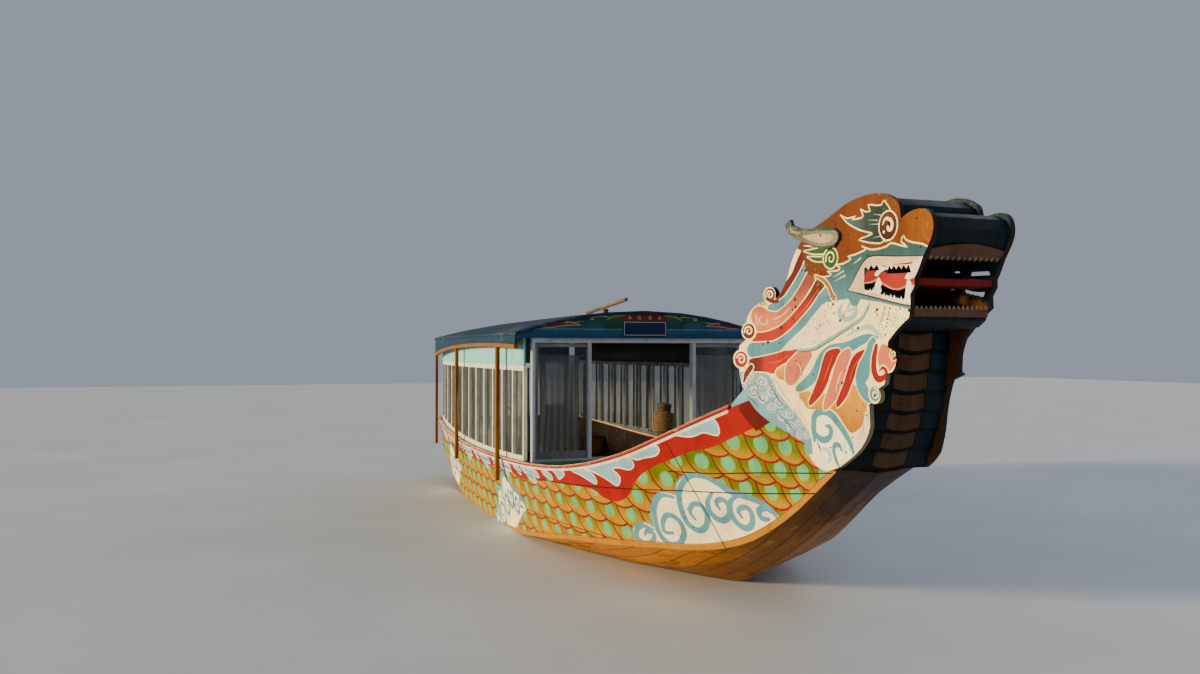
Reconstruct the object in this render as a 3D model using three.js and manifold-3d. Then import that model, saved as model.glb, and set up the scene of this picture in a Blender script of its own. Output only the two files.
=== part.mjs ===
// A river dragon boat: a single planked hull with a long glazed passenger cabin and a carved dragon's
// head made of two painted profile boards with planking between them.
// Millimetres. X runs forward, Y to port and Z up. The origin is amidships on the waterline.
import * as THREE from "three";
import { mergeVertices } from "three/addons/utils/BufferGeometryUtils.js";
import Module from "manifold-3d";

const wasm = await Module();
wasm.setup();

// Driving dimensions
const SEAT = 0.4; // gap between pieces that rest on each other
const PLANK = 50; // topside planks
const DECK = 25; // deck boards
const FLOOR_Z = 500; // cabin floor bearers
const FOREDECK_Z = 900;
const PLATFORM_Z = 800; // raised helm platform aft
const TRANSOM_X = -6500;
const BOW_X = 5400; // forward end of the topsides
const CABIN_FRONT_X = 300;
const CABIN_REAR_X = -6180;
const PLATFORM_X = -4780; // forward edge of the helm platform
const CAP_T = 32; // gunwale cap thickness
const CAP_OUT = 26; // its overhang outboard
const CAP_END_X = 4300;
const WALL_IN = 60; // cabin wall inboard of the sheer
const WALL_T = 45;
const WINDOW_TOP_Z = 2200;
const WINDOW_RAIL = 60;
const MULLION = 45;
const WINDOW_PITCH = 540;
const EAVE_Z = 2620; // top of the roof at its edge
const EAVE_OUT = 95; // roof edge outboard of the sheer
const ROOF_T = 35;
const ROOF_ARCH = 0.0000955; // rise of the arch per square millimetre of half width
const ROOF_FRONT_X = 520;
const ROOF_REAR_X = -6320;
const VALANCE_Z = 2500; // highest point of the valance's lower edge
const VALANCE_PEAK_X = -1500;
const VALANCE_SAG = 0.0000084;
const BOARD_T = 40; // dragon's profile boards
const SKIN_T = 26; // planking between them

// Hull lines: x, half breadth and height of the sheer, half breadth and height of the chine, keel height
const LINES = [
  [-6500, 1310, 1125, 1180, 480, 400],
  [-5600, 1440, 1075, 1270, 260, 150],
  [-4600, 1530, 1020, 1330, 60, -60],
  [-3300, 1590, 960, 1375, -50, -240],
  [-1600, 1620, 945, 1410, -80, -340],
  [200, 1625, 985, 1410, 60, -360],
  [1400, 1590, 1055, 1330, 230, -290],
  [2300, 1460, 1170, 1180, 325, -150],
  [3000, 1260, 1350, 950, 405, -20],
  [3600, 1040, 1590, 670, 470, 240],
  [4100, 830, 1800, 470, 620, 500],
  [4600, 640, 1990, 365, 900, 795],
  [5000, 510, 2080, 335, 1175, 1080],
  [5400, 415, 2120, 370, 1420, 1350],
];
const [SHEER_Y, SHEER_Z, CHINE_Y, CHINE_Z, KEEL_Z] = [1, 2, 3, 4, 5];

// Deck line: x and height of the bearers' top
const DECK_LINE = [
  [TRANSOM_X, PLATFORM_Z],
  [PLATFORM_X - 20, PLATFORM_Z],
  [PLATFORM_X, FLOOR_Z],
  [CABIN_FRONT_X - 20, FLOOR_Z],
  [CABIN_FRONT_X, FOREDECK_Z],
  [2000, FOREDECK_Z],
  [2500, 950],
  [3100, 1090],
  [3700, 1290],
  [4300, 1500],
  [4900, 1640],
  [BOW_X, 1690],
];

// Straight interpolation in a table by its first column
function straight(table, x, column = 1) {
  let i = 0;
  while (i < table.length - 2 && x > table[i + 1][0]) i++;
  const t = (x - table[i][0]) / (table[i + 1][0] - table[i][0]);
  return table[i][column] + t * (table[i + 1][column] - table[i][column]);
}

// Smooth interpolation through the same table
function smooth(table, x, column) {
  let i = 0;
  while (i < table.length - 2 && x > table[i + 1][0]) i++;
  const slope = (a, b) => (table[b][column] - table[a][column]) / (table[b][0] - table[a][0]);
  const tangent = (k) => slope(Math.max(k - 1, 0), Math.min(k + 1, table.length - 1));
  const span = table[i + 1][0] - table[i][0];
  const t = (x - table[i][0]) / span;
  const h = (a, b, c, d) => a * t ** 3 + b * t ** 2 + c * t + d;
  return (
    h(2, -3, 0, 1) * table[i][column] +
    h(1, -2, 1, 0) * span * tangent(i) +
    h(-2, 3, 0, 0) * table[i + 1][column] +
    h(1, -1, 0, 0) * span * tangent(i + 1)
  );
}

// Every long piece is lofted through the same stations, so that neighbours share their facets
const STATION_STEP = 650;
const BOW_STEP = 205;
const stationXs = [];
for (let x = TRANSOM_X; x < 1300; x += STATION_STEP) stationXs.push(x);
for (let x = 1300; x < BOW_X - 1; x += BOW_STEP) stationXs.push(Math.round(x));
stationXs.push(BOW_X);
const FAIRED = stationXs.map((x) => [x, ...[1, 2, 3, 4, 5].map((c) => smooth(LINES, x, c))]);
const line = (x, column) => straight(FAIRED, x, column);
const deckZ = (x) => straight(DECK_LINE, x);

function stationsBetween(from, to, extra = []) {
  const inside = [...stationXs, ...extra].filter((x) => x > from + 5 && x < to - 5);
  return [...new Set([from, ...inside, to])].sort((a, b) => a - b);
}

// Solids from rings of points, from profiles, and to and from manifold-3d

// Rings of [x, y, z] with the same number of points; flat gives the plane in which a cap is drawn
function loft(rings, flat = (p) => [p[1], p[2]]) {
  const n = rings[0].length;
  const positions = rings.flat(2);
  const index = [];
  for (let r = 0; r < rings.length - 1; r++) {
    for (let i = 0; i < n; i++) {
      const [a, b] = [r * n + i, r * n + ((i + 1) % n)];
      index.push(a, b, b + n, a, b + n, a + n);
    }
  }
  const cap = (ring) =>
    THREE.ShapeUtils.triangulateShape(ring.map((p) => new THREE.Vector2(...flat(p))), []);
  const outline = rings[0].map((p) => new THREE.Vector2(...flat(p)));
  const turned = THREE.ShapeUtils.isClockWise(outline);
  const last = (rings.length - 1) * n;
  for (const [a, b, c] of cap(rings[0])) index.push(...(turned ? [a, b, c] : [a, c, b]));
  for (const [a, b, c] of cap(rings.at(-1)))
    index.push(...(turned ? [last + a, last + c, last + b] : [last + a, last + b, last + c]));
  return closed(positions, index);
}

// A solid from corners and triangles, turned to face outwards
function closed(positions, index) {
  const p = (i) => new THREE.Vector3().fromArray(positions, 3 * i);
  let volume = 0;
  for (let i = 0; i < index.length; i += 3)
    volume += p(index[i]).dot(p(index[i + 1]).cross(p(index[i + 2])));
  if (volume < 0)
    for (let i = 0; i < index.length; i += 3) [index[i + 1], index[i + 2]] = [index[i + 2], index[i + 1]];
  const geometry = new THREE.BufferGeometry();
  geometry.setAttribute("position", new THREE.Float32BufferAttribute(positions, 3));
  geometry.setIndex(index);
  return solid(geometry);
}

function solid(geometry) {
  const bare = geometry.clone();
  bare.deleteAttribute("normal");
  bare.deleteAttribute("uv");
  const merged = mergeVertices(bare, 1e-3);
  const vertProperties = new Float32Array(merged.attributes.position.array);
  const triVerts = new Uint32Array(merged.index.array);
  return new wasm.Manifold(new wasm.Mesh({ numProp: 3, vertProperties, triVerts }));
}

function geometryOf(manifold) {
  const mesh = manifold.getMesh();
  const corners = new Float32Array(mesh.numVert * 3);
  for (let i = 0; i < mesh.numVert; i++)
    corners.set(mesh.vertProperties.subarray(i * mesh.numProp, i * mesh.numProp + 3), i * 3);
  const geometry = new THREE.BufferGeometry();
  geometry.setAttribute("position", new THREE.BufferAttribute(corners, 3));
  geometry.setIndex(new THREE.BufferAttribute(new Uint32Array(mesh.triVerts), 1));
  return geometry;
}

const union = (parts) => parts.reduce((a, b) => a.add(b));

function block(x0, x1, y0, y1, z0, z1) {
  const geometry = new THREE.BoxGeometry(x1 - x0, y1 - y0, z1 - z0);
  geometry.translate((x0 + x1) / 2, (y0 + y1) / 2, (z0 + z1) / 2);
  return solid(geometry);
}

const AXES = {
  X: new THREE.Vector3(1, 0, 0),
  Y: new THREE.Vector3(0, 1, 0),
  Z: new THREE.Vector3(0, 0, 1),
};

function shapeOf(points) {
  return new THREE.Shape(points.map(([a, b]) => new THREE.Vector2(a, b)));
}

const EXTRUDE = { bevelEnabled: false, steps: 1, curveSegments: 5 };

// A side view (x, z) drawn out from y0 to y1
function fromSide(shape, y0, y1) {
  const geometry = new THREE.ExtrudeGeometry(shape, { ...EXTRUDE, depth: y1 - y0 });
  geometry.applyMatrix4(new THREE.Matrix4().makeBasis(AXES.X, AXES.Z, AXES.Y.clone().negate()));
  geometry.translate(0, y1, 0);
  return solid(geometry);
}

// A front view (y, z) drawn out from x0 to x1
function fromFront(shape, x0, x1) {
  const geometry = new THREE.ExtrudeGeometry(shape, { ...EXTRUDE, depth: x1 - x0 });
  geometry.applyMatrix4(new THREE.Matrix4().makeBasis(AXES.Y, AXES.Z, AXES.X));
  geometry.translate(x0, 0, 0);
  return solid(geometry);
}

// A plan view (x, y) drawn out from z0 to z1
function fromAbove(shape, z0, z1) {
  const geometry = new THREE.ExtrudeGeometry(shape, { ...EXTRUDE, depth: z1 - z0 });
  geometry.translate(0, 0, z0);
  return solid(geometry);
}

// A strip along the boat: outer face at side * outer(x), inboard by t, from z0(x) to z1(x)
function strip(side, from, to, outer, t, z0, z1, extra = []) {
  const rings = stationsBetween(from, to, extra).map((x) => [
    [x, side * outer(x), z0(x)],
    [x, side * (outer(x) - t), z0(x)],
    [x, side * (outer(x) - t), z1(x)],
    [x, side * outer(x), z1(x)],
  ]);
  return loft(rings);
}

// A board of thickness t whose outer face follows a side-view line, between y0 and y1
function boardAlong(points, t, y0, y1) {
  const inner = points.map((p, i) => {
    const a = points[Math.max(i - 1, 0)];
    const b = points[Math.min(i + 1, points.length - 1)];
    const length = Math.hypot(b[0] - a[0], b[1] - a[1]);
    return [p[0] + (t * (b[1] - a[1])) / length, p[1] - (t * (b[0] - a[0])) / length];
  });
  return fromSide(shapeOf([...points, ...inner.reverse()]), y0, y1);
}

// The boat

const boat = new THREE.Group();
boat.name = "dragon_boat";

const PAINT = {
  hull: [0xc98a1c, 0.6, 0],
  bottom: [0x8a4a12, 0.75, 0],
  cap: [0xd8cdb0, 0.65, 0],
  deck: [0x7d6a4e, 0.8, 0],
  alloy: [0xb4b6b8, 0.4, 0.9],
  glass: [0x4a5a5c, 0.1, 0],
  cyan: [0x9fd6d6, 0.6, 0],
  blue: [0x2b5a86, 0.55, 0],
  orange: [0xc8782a, 0.6, 0],
  green: [0x2f7a55, 0.6, 0],
  curtain: [0xd9d6cc, 0.9, 0],
  mane: [0xd99a3a, 0.6, 0],
  horn: [0xb9b2a0, 0.65, 0],
  teal: [0x27505a, 0.6, 0],
  red: [0xb53a2e, 0.6, 0],
  belly: [0x7a5636, 0.7, 0],
  timber: [0x6e4a2c, 0.8, 0],
  rope: [0xb08a58, 0.9, 0],
  plate: [0x1c2a4c, 0.5, 0],
  iron: [0x3a3c3e, 0.6, 0.8],
  bronze: [0xa8843c, 0.35, 1],
};

function add(name, manifold, paint) {
  const [color, roughness, metalness] = PAINT[paint];
  const material = new THREE.MeshStandardMaterial({ color, roughness, metalness });
  const mesh = new THREE.Mesh(geometryOf(manifold), material);
  mesh.name = name;
  boat.add(mesh);
}

const SIDES = [
  ["starboard", -1],
  ["port", 1],
];

// Half breadth of the topside's outer face at height z
function topsideY(x, z) {
  const t = (z - line(x, CHINE_Z)) / (line(x, SHEER_Z) - line(x, CHINE_Z));
  return line(x, CHINE_Y) + t * (line(x, SHEER_Y) - line(x, CHINE_Y));
}

// Engine well under the helm platform
const WELL = { x0: -5730, x1: -4990, y: 250, floor: 400 };
const LID = { x0: -5760, x1: -4960, y: 280, gap: 6 };

function hull() {
  const CLEAR = 20; // the bottom's upstand stays inside the topside planks
  const LEDGE_FALL = 1; // the ledge under the planks drains inboard
  const BILGE = 0.6; // share of the breadth at the bilge seam
  const BILGE_RISE = 0.5;
  const STEM_X = 5470; // forward end of the keel line
  const STEM_Z = 1400;
  const END_X = 5450; // and of the chines
  const xs = stationsBetween(TRANSOM_X, BOW_X, DECK_LINE.map((row) => row[0]));
  const ring = (x, keelX = x, keelZ = line(x, KEEL_Z)) => {
    const [cy, cz, dz] = [line(x, CHINE_Y), line(x, CHINE_Z), deckZ(x)];
    const half = [
      [x + BILGE_RISE * (keelX - x), BILGE * cy, keelZ + BILGE_RISE * (cz - keelZ)],
      [x, cy, cz],
      [x, cy - PLANK - CLEAR, cz - LEDGE_FALL],
      [x, topsideY(x, dz) - PLANK - CLEAR, dz],
    ];
    const mirrored = half.map(([a, b, c]) => [a, -b, c]).reverse();
    return [[keelX, 0, keelZ], ...half, ...mirrored];
  };
  const rings = xs.map((x) => ring(x));
  rings.push(ring(END_X, STEM_X, STEM_Z));
  const well = block(WELL.x0, WELL.x1, -WELL.y, WELL.y, WELL.floor, 2000);
  const bottom = loft(rings);
  add("hull_bottom", bottom.subtract(well), "bottom");
  keel(bottom);

  for (const [name, side] of SIDES) {
    const plankRings = stationsBetween(TRANSOM_X, BOW_X).map((x) => [
      [x, side * line(x, CHINE_Y), line(x, CHINE_Z) + SEAT],
      [x, side * (line(x, CHINE_Y) - PLANK), line(x, CHINE_Z) + SEAT],
      [x, side * (line(x, SHEER_Y) - PLANK), line(x, SHEER_Z)],
      [x, side * line(x, SHEER_Y), line(x, SHEER_Z)],
    ]);
    add(`topside_${name}`, loft(plankRings), "hull");
    const capZ = (x) => line(x, SHEER_Z) + SEAT;
    add(
      `gunwale_${name}`,
      strip(side, TRANSOM_X, CAP_END_X, (x) => line(x, SHEER_Y) + CAP_OUT, PLANK + CAP_OUT,
        capZ, (x) => capZ(x) + CAP_T),
      "cap",
    );
  }

  // Transom board over the after ends of the planks
  const [sy, sz, cy, cz, kz] = LINES[0].slice(1);
  const half = [[BILGE * cy, kz + BILGE_RISE * (cz - kz)], [cy, cz], [sy, sz]];
  const outline = [[0, kz], ...half, ...half.map(([a, b]) => [-a, b]).reverse()];
  add("transom", fromFront(shapeOf(outline), TRANSOM_X - PLANK - SEAT, TRANSOM_X - SEAT), "blue");
}

// Keel timber, its top cut to the planks' V
function keel(bottom) {
  const HALF = 45;
  const DEPTH = 100;
  const AFTER_X = -4500; // after end of the deadwood
  const SKEG_Z = -480;
  const SKEG_END_X = -1600;
  const FORE_X = 2900;
  const FADE = 900; // over this length the keel's depth dies away into the planks
  const SUNK = 80; // enough to reach past the V before the cut
  const depth = (x) => DEPTH * Math.min(1, 0.15 + (FORE_X - x) / FADE);
  const low = (x) => (x < SKEG_END_X ? SKEG_Z : line(x, KEEL_Z) - depth(x));
  const rings = stationsBetween(AFTER_X, FORE_X).map((x) => [
    [x, -HALF, low(x)],
    [x, HALF, low(x)],
    [x, HALF, line(x, KEEL_Z) + SUNK],
    [x, -HALF, line(x, KEEL_Z) + SUNK],
  ]);
  add("keel", loft(rings).subtract(bottom.translate([0, 0, -SEAT])), "timber");
}

function decks() {
  const EDGE = 12; // clear of the topside planks
  const plate = (from, to, z0, t) => {
    const rings = stationsBetween(from, to, DECK_LINE.map((row) => row[0])).map((x) => {
      const y = topsideY(x, z0(x)) - PLANK - EDGE;
      return [
        [x, -y, z0(x)],
        [x, y, z0(x)],
        [x, y, z0(x) + t],
        [x, -y, z0(x) + t],
      ];
    });
    return loft(rings);
  };
  const FOREDECK_FROM = 470;
  const FOREDECK_TO = 5080;
  const on = (z) => () => z + SEAT;
  add("foredeck", plate(FOREDECK_FROM, FOREDECK_TO, (x) => deckZ(x) + SEAT, DECK), "deck");
  add("cabin_floor", plate(PLATFORM_X + 20, CABIN_FRONT_X - 40, on(FLOOR_Z), DECK), "deck");
  const platform = plate(TRANSOM_X + 10, PLATFORM_X - 30, on(PLATFORM_Z), DECK);
  const g = LID.gap;
  const hatchHole = block(LID.x0 - g, LID.x1 + g, -LID.y - g, LID.y + g, 700, 900);
  add("helm_platform", platform.subtract(hatchHole), "deck");
  const lidZ = PLATFORM_Z + SEAT;
  add("engine_hatch", block(LID.x0, LID.x1, -LID.y, LID.y, lidZ, lidZ + DECK), "deck");
  const ENGINE = { x0: -5690, x1: -5030, y: 200, height: 340 };
  add(
    "engine",
    block(ENGINE.x0, ENGINE.x1, -ENGINE.y, ENGINE.y, WELL.floor + SEAT, WELL.floor + ENGINE.height),
    "iron",
  );
}

// Roof: a shallow arch, as wide as the hull under it
const ARCH_STEPS = [-1, -0.85, -0.7, -0.5, -0.3, 0, 0.3, 0.5, 0.7, 0.85, 1];
const roofHalf = (x) => line(x, SHEER_Y) + EAVE_OUT;
function archRing(x, drop, rise) {
  const half = roofHalf(x);
  const z = (y) => EAVE_Z + ROOF_ARCH * (half * half - y * y);
  const under = ARCH_STEPS.map((s) => [x, s * half, z(s * half) - drop]);
  const over = ARCH_STEPS.map((s) => [x, s * half, z(s * half) + rise]).reverse();
  return [...under, ...over];
}
const roofXs = stationsBetween(ROOF_REAR_X, ROOF_FRONT_X);
const CUT_RISE = 1000;
const aboveRoof = loft(roofXs.map((x) => archRing(x, ROOF_T + SEAT, CUT_RISE)));

function roof() {
  add("roof", loft(roofXs.map((x) => archRing(x, ROOF_T, 0))), "blue");

  const FASCIA_BOTTOM_Z = 2550;
  const FASCIA_X = 455;
  const FASCIA_T = 35;
  const END_IN = 40;
  const half = roofHalf(FASCIA_X) - END_IN;
  const front = block(FASCIA_X, FASCIA_X + FASCIA_T, -half, half, FASCIA_BOTTOM_Z, 3200);
  add("fascia_front", front.subtract(aboveRoof), "green");

  // Blank number plate at its middle
  const PLATE = { y: 300, z0: 2575, z1: 2770, t: 12 };
  const plateX = FASCIA_X + FASCIA_T + SEAT;
  add("number_plate", block(plateX, plateX + PLATE.t, -PLATE.y, PLATE.y, PLATE.z0, PLATE.z1), "plate");

  const VALANCE_T = 25;
  const VALANCE_IN = 12; // its face behind the roof's edge
  const RAIL = { width: 55, height: 50 };
  const POST = { xs: [-6000, -3250, -500], width: 70, t: 50, bottom: 690, inset: 9 };
  const edge = (x) => VALANCE_Z - VALANCE_SAG * (x - VALANCE_PEAK_X) ** 2;
  for (const [name, side] of SIDES) {
    const valance = strip(side, CABIN_REAR_X, 440, (x) => roofHalf(x) - VALANCE_IN, VALANCE_T,
      edge, () => 3200);
    add(`valance_${name}`, valance.subtract(aboveRoof), "blue");
    const railTop = (x) => edge(x) - SEAT;
    const rail = strip(side, CABIN_REAR_X, 440, roofHalf, RAIL.width,
      (x) => railTop(x) - RAIL.height, railTop);
    const posts = POST.xs.map((x) =>
      strip(side, x - POST.width / 2, x + POST.width / 2, (s) => roofHalf(s) - POST.inset, POST.t,
        () => POST.bottom, (s) => railTop(s) - 10),
    );
    add(`eave_posts_${name}`, union([rail, ...posts]), "orange");
  }
}

const wallY = (x) => line(x, SHEER_Y) - WALL_IN;

function cabinSides() {
  const sillZ = (x) => line(x, SHEER_Z) + CAP_T + 2 * SEAT;
  const SILL = 60;
  const GLASS_T = 7;
  const [from, to] = [CABIN_REAR_X + 30, CABIN_FRONT_X + 40];
  const ROD = { in: 112, t: 16, z: 2168 };
  const BRACKET_W = 30;
  const CURTAIN = { width: 270, t: 50, bottom: 1110, in: 90 }; // one in each bay of the window
  for (const [name, side] of SIDES) {
    const inner = (x) => Math.min(wallY(x), topsideY(x, line(x, SHEER_Z)) - WALL_IN);
    const bottomRail = strip(side, from, to, inner, WALL_T, sillZ, (x) => sillZ(x) + SILL);
    const topRail = strip(side, from, to, inner, WALL_T,
      () => WINDOW_TOP_Z - WINDOW_RAIL, () => WINDOW_TOP_Z);
    const mullions = [];
    for (let x = from; x < to - 10; x += WINDOW_PITCH)
      mullions.push([x, x + MULLION]);
    mullions.push([to - MULLION, to]);
    const bars = mullions.map(([a, b]) =>
      strip(side, a, Math.min(b, to), inner, WALL_T, sillZ, () => WINDOW_TOP_Z - 1));
    add(`window_frame_${name}`, union([bottomRail, topRail, ...bars]), "alloy");
    add(
      `window_glass_${name}`,
      strip(side, from, to, (x) => inner(x) - WALL_T - SEAT, GLASS_T,
        (x) => sillZ(x) + 20, () => WINDOW_TOP_Z - WINDOW_RAIL + 10),
      "glass",
    );
    const band = strip(side, from, to, (x) => inner(x) + 5, 30, () => WINDOW_TOP_Z + SEAT, () => 3200);
    add(`side_band_${name}`, band.subtract(aboveRoof), "cyan");

    // Curtain rod on three brackets, with gathered curtains as plain blocks
    const rodY = (x) => inner(x) - ROD.in;
    const rod = strip(side, from + 60, to - 60, rodY, ROD.t, () => ROD.z - 8, () => ROD.z + 8);
    const spots = [from + 100, (from + to) / 2, to - 130];
    const brackets = spots.map((x) =>
      strip(side, x, x + BRACKET_W, (s) => inner(s) - WALL_T - SEAT, ROD.in + ROD.t - WALL_T - SEAT,
        () => ROD.z - 6, () => ROD.z + 8));
    const curtains = [];
    for (let x = from + CURTAIN.in; x < to - CURTAIN.width; x += WINDOW_PITCH) {
      curtains.push(
        strip(side, x, x + CURTAIN.width, (s) => rodY(s) + 17, CURTAIN.t,
          () => CURTAIN.bottom, () => ROD.z - 7));
    }
    add(`curtains_${name}`, union([rod, ...brackets, ...curtains]), "curtain");
  }
}

// Front of the cabin: a two-track sliding screen, its leaves parked behind the fixed panes
const OPENING = 700; // half of the doorway
function cabinFront() {
  const SILL_TOP = 1010;
  const HALF = 1480;
  const JAMB = 40;
  const [x0, x1] = [CABIN_FRONT_X + 30, CABIN_FRONT_X + 130];
  const sillBase = FOREDECK_Z + SEAT;
  add("front_sill", block(CABIN_FRONT_X, CABIN_FRONT_X + 150, -HALF, HALF, sillBase, SILL_TOP), "green");

  const base = SILL_TOP + SEAT;
  const HEAD_Z = 2490;
  const TRACK_TOP = 1040;
  const STILE = 50;
  const FIXED = { x0: CABIN_FRONT_X + 85, x1: CABIN_FRONT_X + 125 };
  const bars = [
    block(x0, x1, -HALF, HALF, base, TRACK_TOP),
    block(x0, x1, -HALF, -HALF + JAMB, base, 3200),
    block(x0, x1, HALF - JAMB, HALF, base, 3200),
    block(x0, x1, -HALF, HALF, HEAD_Z, 3200),
    block(FIXED.x0, FIXED.x1, -OPENING - STILE, -OPENING, base, HEAD_Z + 10),
    block(FIXED.x0, FIXED.x1, OPENING, OPENING + STILE, base, HEAD_Z + 10),
  ];
  add("front_frame", union(bars).subtract(aboveRoof), "alloy");

  const LEAF = { x0: CABIN_FRONT_X + 36, x1: CABIN_FRONT_X + 70, width: 734, stile: 48, foot: 90 };
  const PANE = { x0: LEAF.x0 + 14, x1: LEAF.x0 + 20 };
  const top = HEAD_Z - 6;
  const foot = TRACK_TOP + 0.3;
  for (const [name, side] of SIDES) {
    const span = (a, b) => [Math.min(side * a, side * b), Math.max(side * a, side * b)];
    const fixedY = span(OPENING + STILE + SEAT, HALF - JAMB - SEAT);
    add(
      `front_pane_${name}`,
      block(FIXED.x0 + 16, FIXED.x0 + 22, ...fixedY, TRACK_TOP + SEAT, HEAD_Z - SEAT),
      "glass",
    );
    const [a, b] = [OPENING, OPENING + LEAF.width];
    const leaf = block(LEAF.x0, LEAF.x1, ...span(a, b), foot, top);
    const glazing = block(LEAF.x0 - 1, LEAF.x1 + 1, ...span(a + LEAF.stile, b - LEAF.stile),
      foot + LEAF.foot, top - LEAF.stile);
    add(`door_frame_${name}`, leaf.subtract(glazing), "alloy");
    add(
      `door_pane_${name}`,
      block(PANE.x0, PANE.x1, ...span(a + LEAF.stile + SEAT, b - LEAF.stile - SEAT),
        foot + LEAF.foot + SEAT, top - LEAF.stile - SEAT),
      "glass",
    );
  }
}

function cabinRear() {
  const [x0, x1] = [CABIN_REAR_X - 40, CABIN_REAR_X];
  const base = PLATFORM_Z + DECK + 2 * SEAT;
  const HALF = 1180;
  const DOOR = { y: 600, top: 2150 };
  const WINDOW = { y0: 700, y1: 1090, z0: 1350, z1: 2150 };
  const wall = block(x0, x1, -HALF, HALF, base, 3200);
  const door = block(x0 - 5, x1 + 5, -DOOR.y, DOOR.y, base - 5, DOOR.top);
  const windows = SIDES.map(([, s]) =>
    block(x0 - 5, x1 + 5, Math.min(s * WINDOW.y0, s * WINDOW.y1), Math.max(s * WINDOW.y0, s * WINDOW.y1),
      WINDOW.z0, WINDOW.z1));
  add("rear_wall", wall.subtract(union([door, ...windows])).subtract(aboveRoof), "cyan");
}

// The dragon's head. Plan of the profile boards: x and the inner face's half breadth
const BOARD_PLAN = [
  [BOW_X, 415],
  [6000, 350],
  [6700, 312],
];
const boardIn = (x) => (x <= BOW_X ? line(x, SHEER_Y) : straight(BOARD_PLAN, x)) + SEAT;
const HEAD_FROM = 4300;
const HEAD_TO = 6700;
const headXs = [...stationsBetween(HEAD_FROM, BOW_X), 6000, HEAD_TO];

// A curved slab in plan, t thick, out from the boards' inner faces by off
function boardSlab(side, off, t) {
  const inner = headXs.map((x) => [x, side * (boardIn(x) + off)]);
  const outer = headXs.map((x) => [x, side * (boardIn(x) + off + t)]).reverse();
  return fromAbove(shapeOf([...inner, ...outer]), 1300, 3700);
}

function betweenBoards() {
  const near = headXs.map((x) => [x, -(boardIn(x) - 2 * SEAT)]);
  const far = headXs.map((x) => [x, boardIn(x) - 2 * SEAT]).reverse();
  return fromAbove(shapeOf([...near, ...far]), 1300, 3700);
}

const DEGREE = Math.PI / 180;

// Starboard throat edge with its curls, upwards from the skirt
function curledThroat(s) {
  s.lineTo(5550, 1475);
  s.lineTo(5670, 1550);
  s.quadraticCurveTo(5860, 1660, 5900, 1820);
  s.lineTo(5890, 1985);
  s.absarc(5950, 2060, 66, -120 * DEGREE, 50 * DEGREE, false);
  s.lineTo(6060, 2145);
  s.lineTo(6080, 2220);
  s.lineTo(6150, 2240);
  s.quadraticCurveTo(6220, 2310, 6180, 2390);
  s.lineTo(6100, 2420);
  s.lineTo(6100, 2460);
  s.quadraticCurveTo(6200, 2560, 6330, 2630);
}

// Port throat edge, plain but for one small point
function plainThroat(s) {
  s.lineTo(5500, 1435);
  s.quadraticCurveTo(5610, 1490, 5690, 1580);
  s.quadraticCurveTo(5760, 1720, 5780, 1880);
  s.quadraticCurveTo(5810, 2040, 5880, 2165);
  s.lineTo(6025, 2210);
  s.lineTo(5980, 2235);
  s.lineTo(5990, 2360);
  s.quadraticCurveTo(6020, 2450, 6050, 2490);
  s.lineTo(6220, 2630);
}

// Side view of the head: brow and crest, neck with three mane curls, skirt, throat edge, jaw and snout
function headOutline(throatEdge) {
  const s = new THREE.Shape();
  s.moveTo(6250, 3355);
  s.lineTo(6240, 3430);
  s.quadraticCurveTo(6230, 3490, 6180, 3510);
  s.quadraticCurveTo(6060, 3590, 5900, 3585);
  s.quadraticCurveTo(5700, 3580, 5560, 3520);
  s.lineTo(5240, 3390);
  s.lineTo(5110, 3290);
  s.quadraticCurveTo(5010, 3170, 4980, 3050);
  s.quadraticCurveTo(4930, 2900, 4830, 2830);
  s.absarc(4770, 2875, 68, -20 * DEGREE, 230 * DEGREE, false);
  s.quadraticCurveTo(4570, 2790, 4530, 2680);
  s.absarc(4545, 2565, 78, 110 * DEGREE, 250 * DEGREE, false);
  s.lineTo(4445, 2440);
  s.absarc(4455, 2320, 82, 100 * DEGREE, 260 * DEGREE, false);
  s.quadraticCurveTo(4440, 2060, 4620, 1880);
  s.quadraticCurveTo(4760, 1770, 5010, 1690);
  s.lineTo(5180, 1620);
  s.quadraticCurveTo(5200, 1440, 5400, 1425);
  throatEdge(s);
  s.lineTo(6350, 2710);
  s.lineTo(6345, 2800);
  s.lineTo(6395, 2860);
  s.lineTo(6395, 2920);
  s.lineTo(6425, 2960);
  s.lineTo(6480, 3060);
  s.lineTo(6530, 3130);
  s.quadraticCurveTo(6610, 3230, 6580, 3320);
  s.quadraticCurveTo(6550, 3400, 6450, 3405);
  s.quadraticCurveTo(6340, 3410, 6250, 3355);
  return s;
}

// A gap between the teeth: a plain edge from (x0, z0) to (x1, z1), and a row of teeth that far from it
function toothGap(x0, z0, x1, z1, reach, tooth, count, bow = 0) {
  const points = [];
  const STEPS = 4;
  for (let i = 0; i <= STEPS; i++) {
    const t = i / STEPS;
    points.push([x0 + t * (x1 - x0), z0 + t * (z1 - z0) + bow * 4 * t * (1 - t)]);
  }
  for (let i = 2 * count - 1; i >= 1; i--) {
    const t = i / (2 * count);
    const root = i % 2 ? 1 : 1 - tooth;
    points.push([x0 + t * (x1 - x0), z0 + t * (z1 - z0) + reach(t) * root]);
  }
  return new THREE.Path(points.map(([a, b]) => new THREE.Vector2(a, b)));
}

// Side view of a horn from its tip, along its lower edge and back
const HORN = [
  [5030, 3490], [4970, 3450], [5000, 3380], [5080, 3330], [5280, 3240], [5400, 3210], [5520, 3220],
  [5580, 3280], [5580, 3325], [5520, 3370], [5410, 3390], [5220, 3390], [5120, 3410], [5050, 3440],
];

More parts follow.
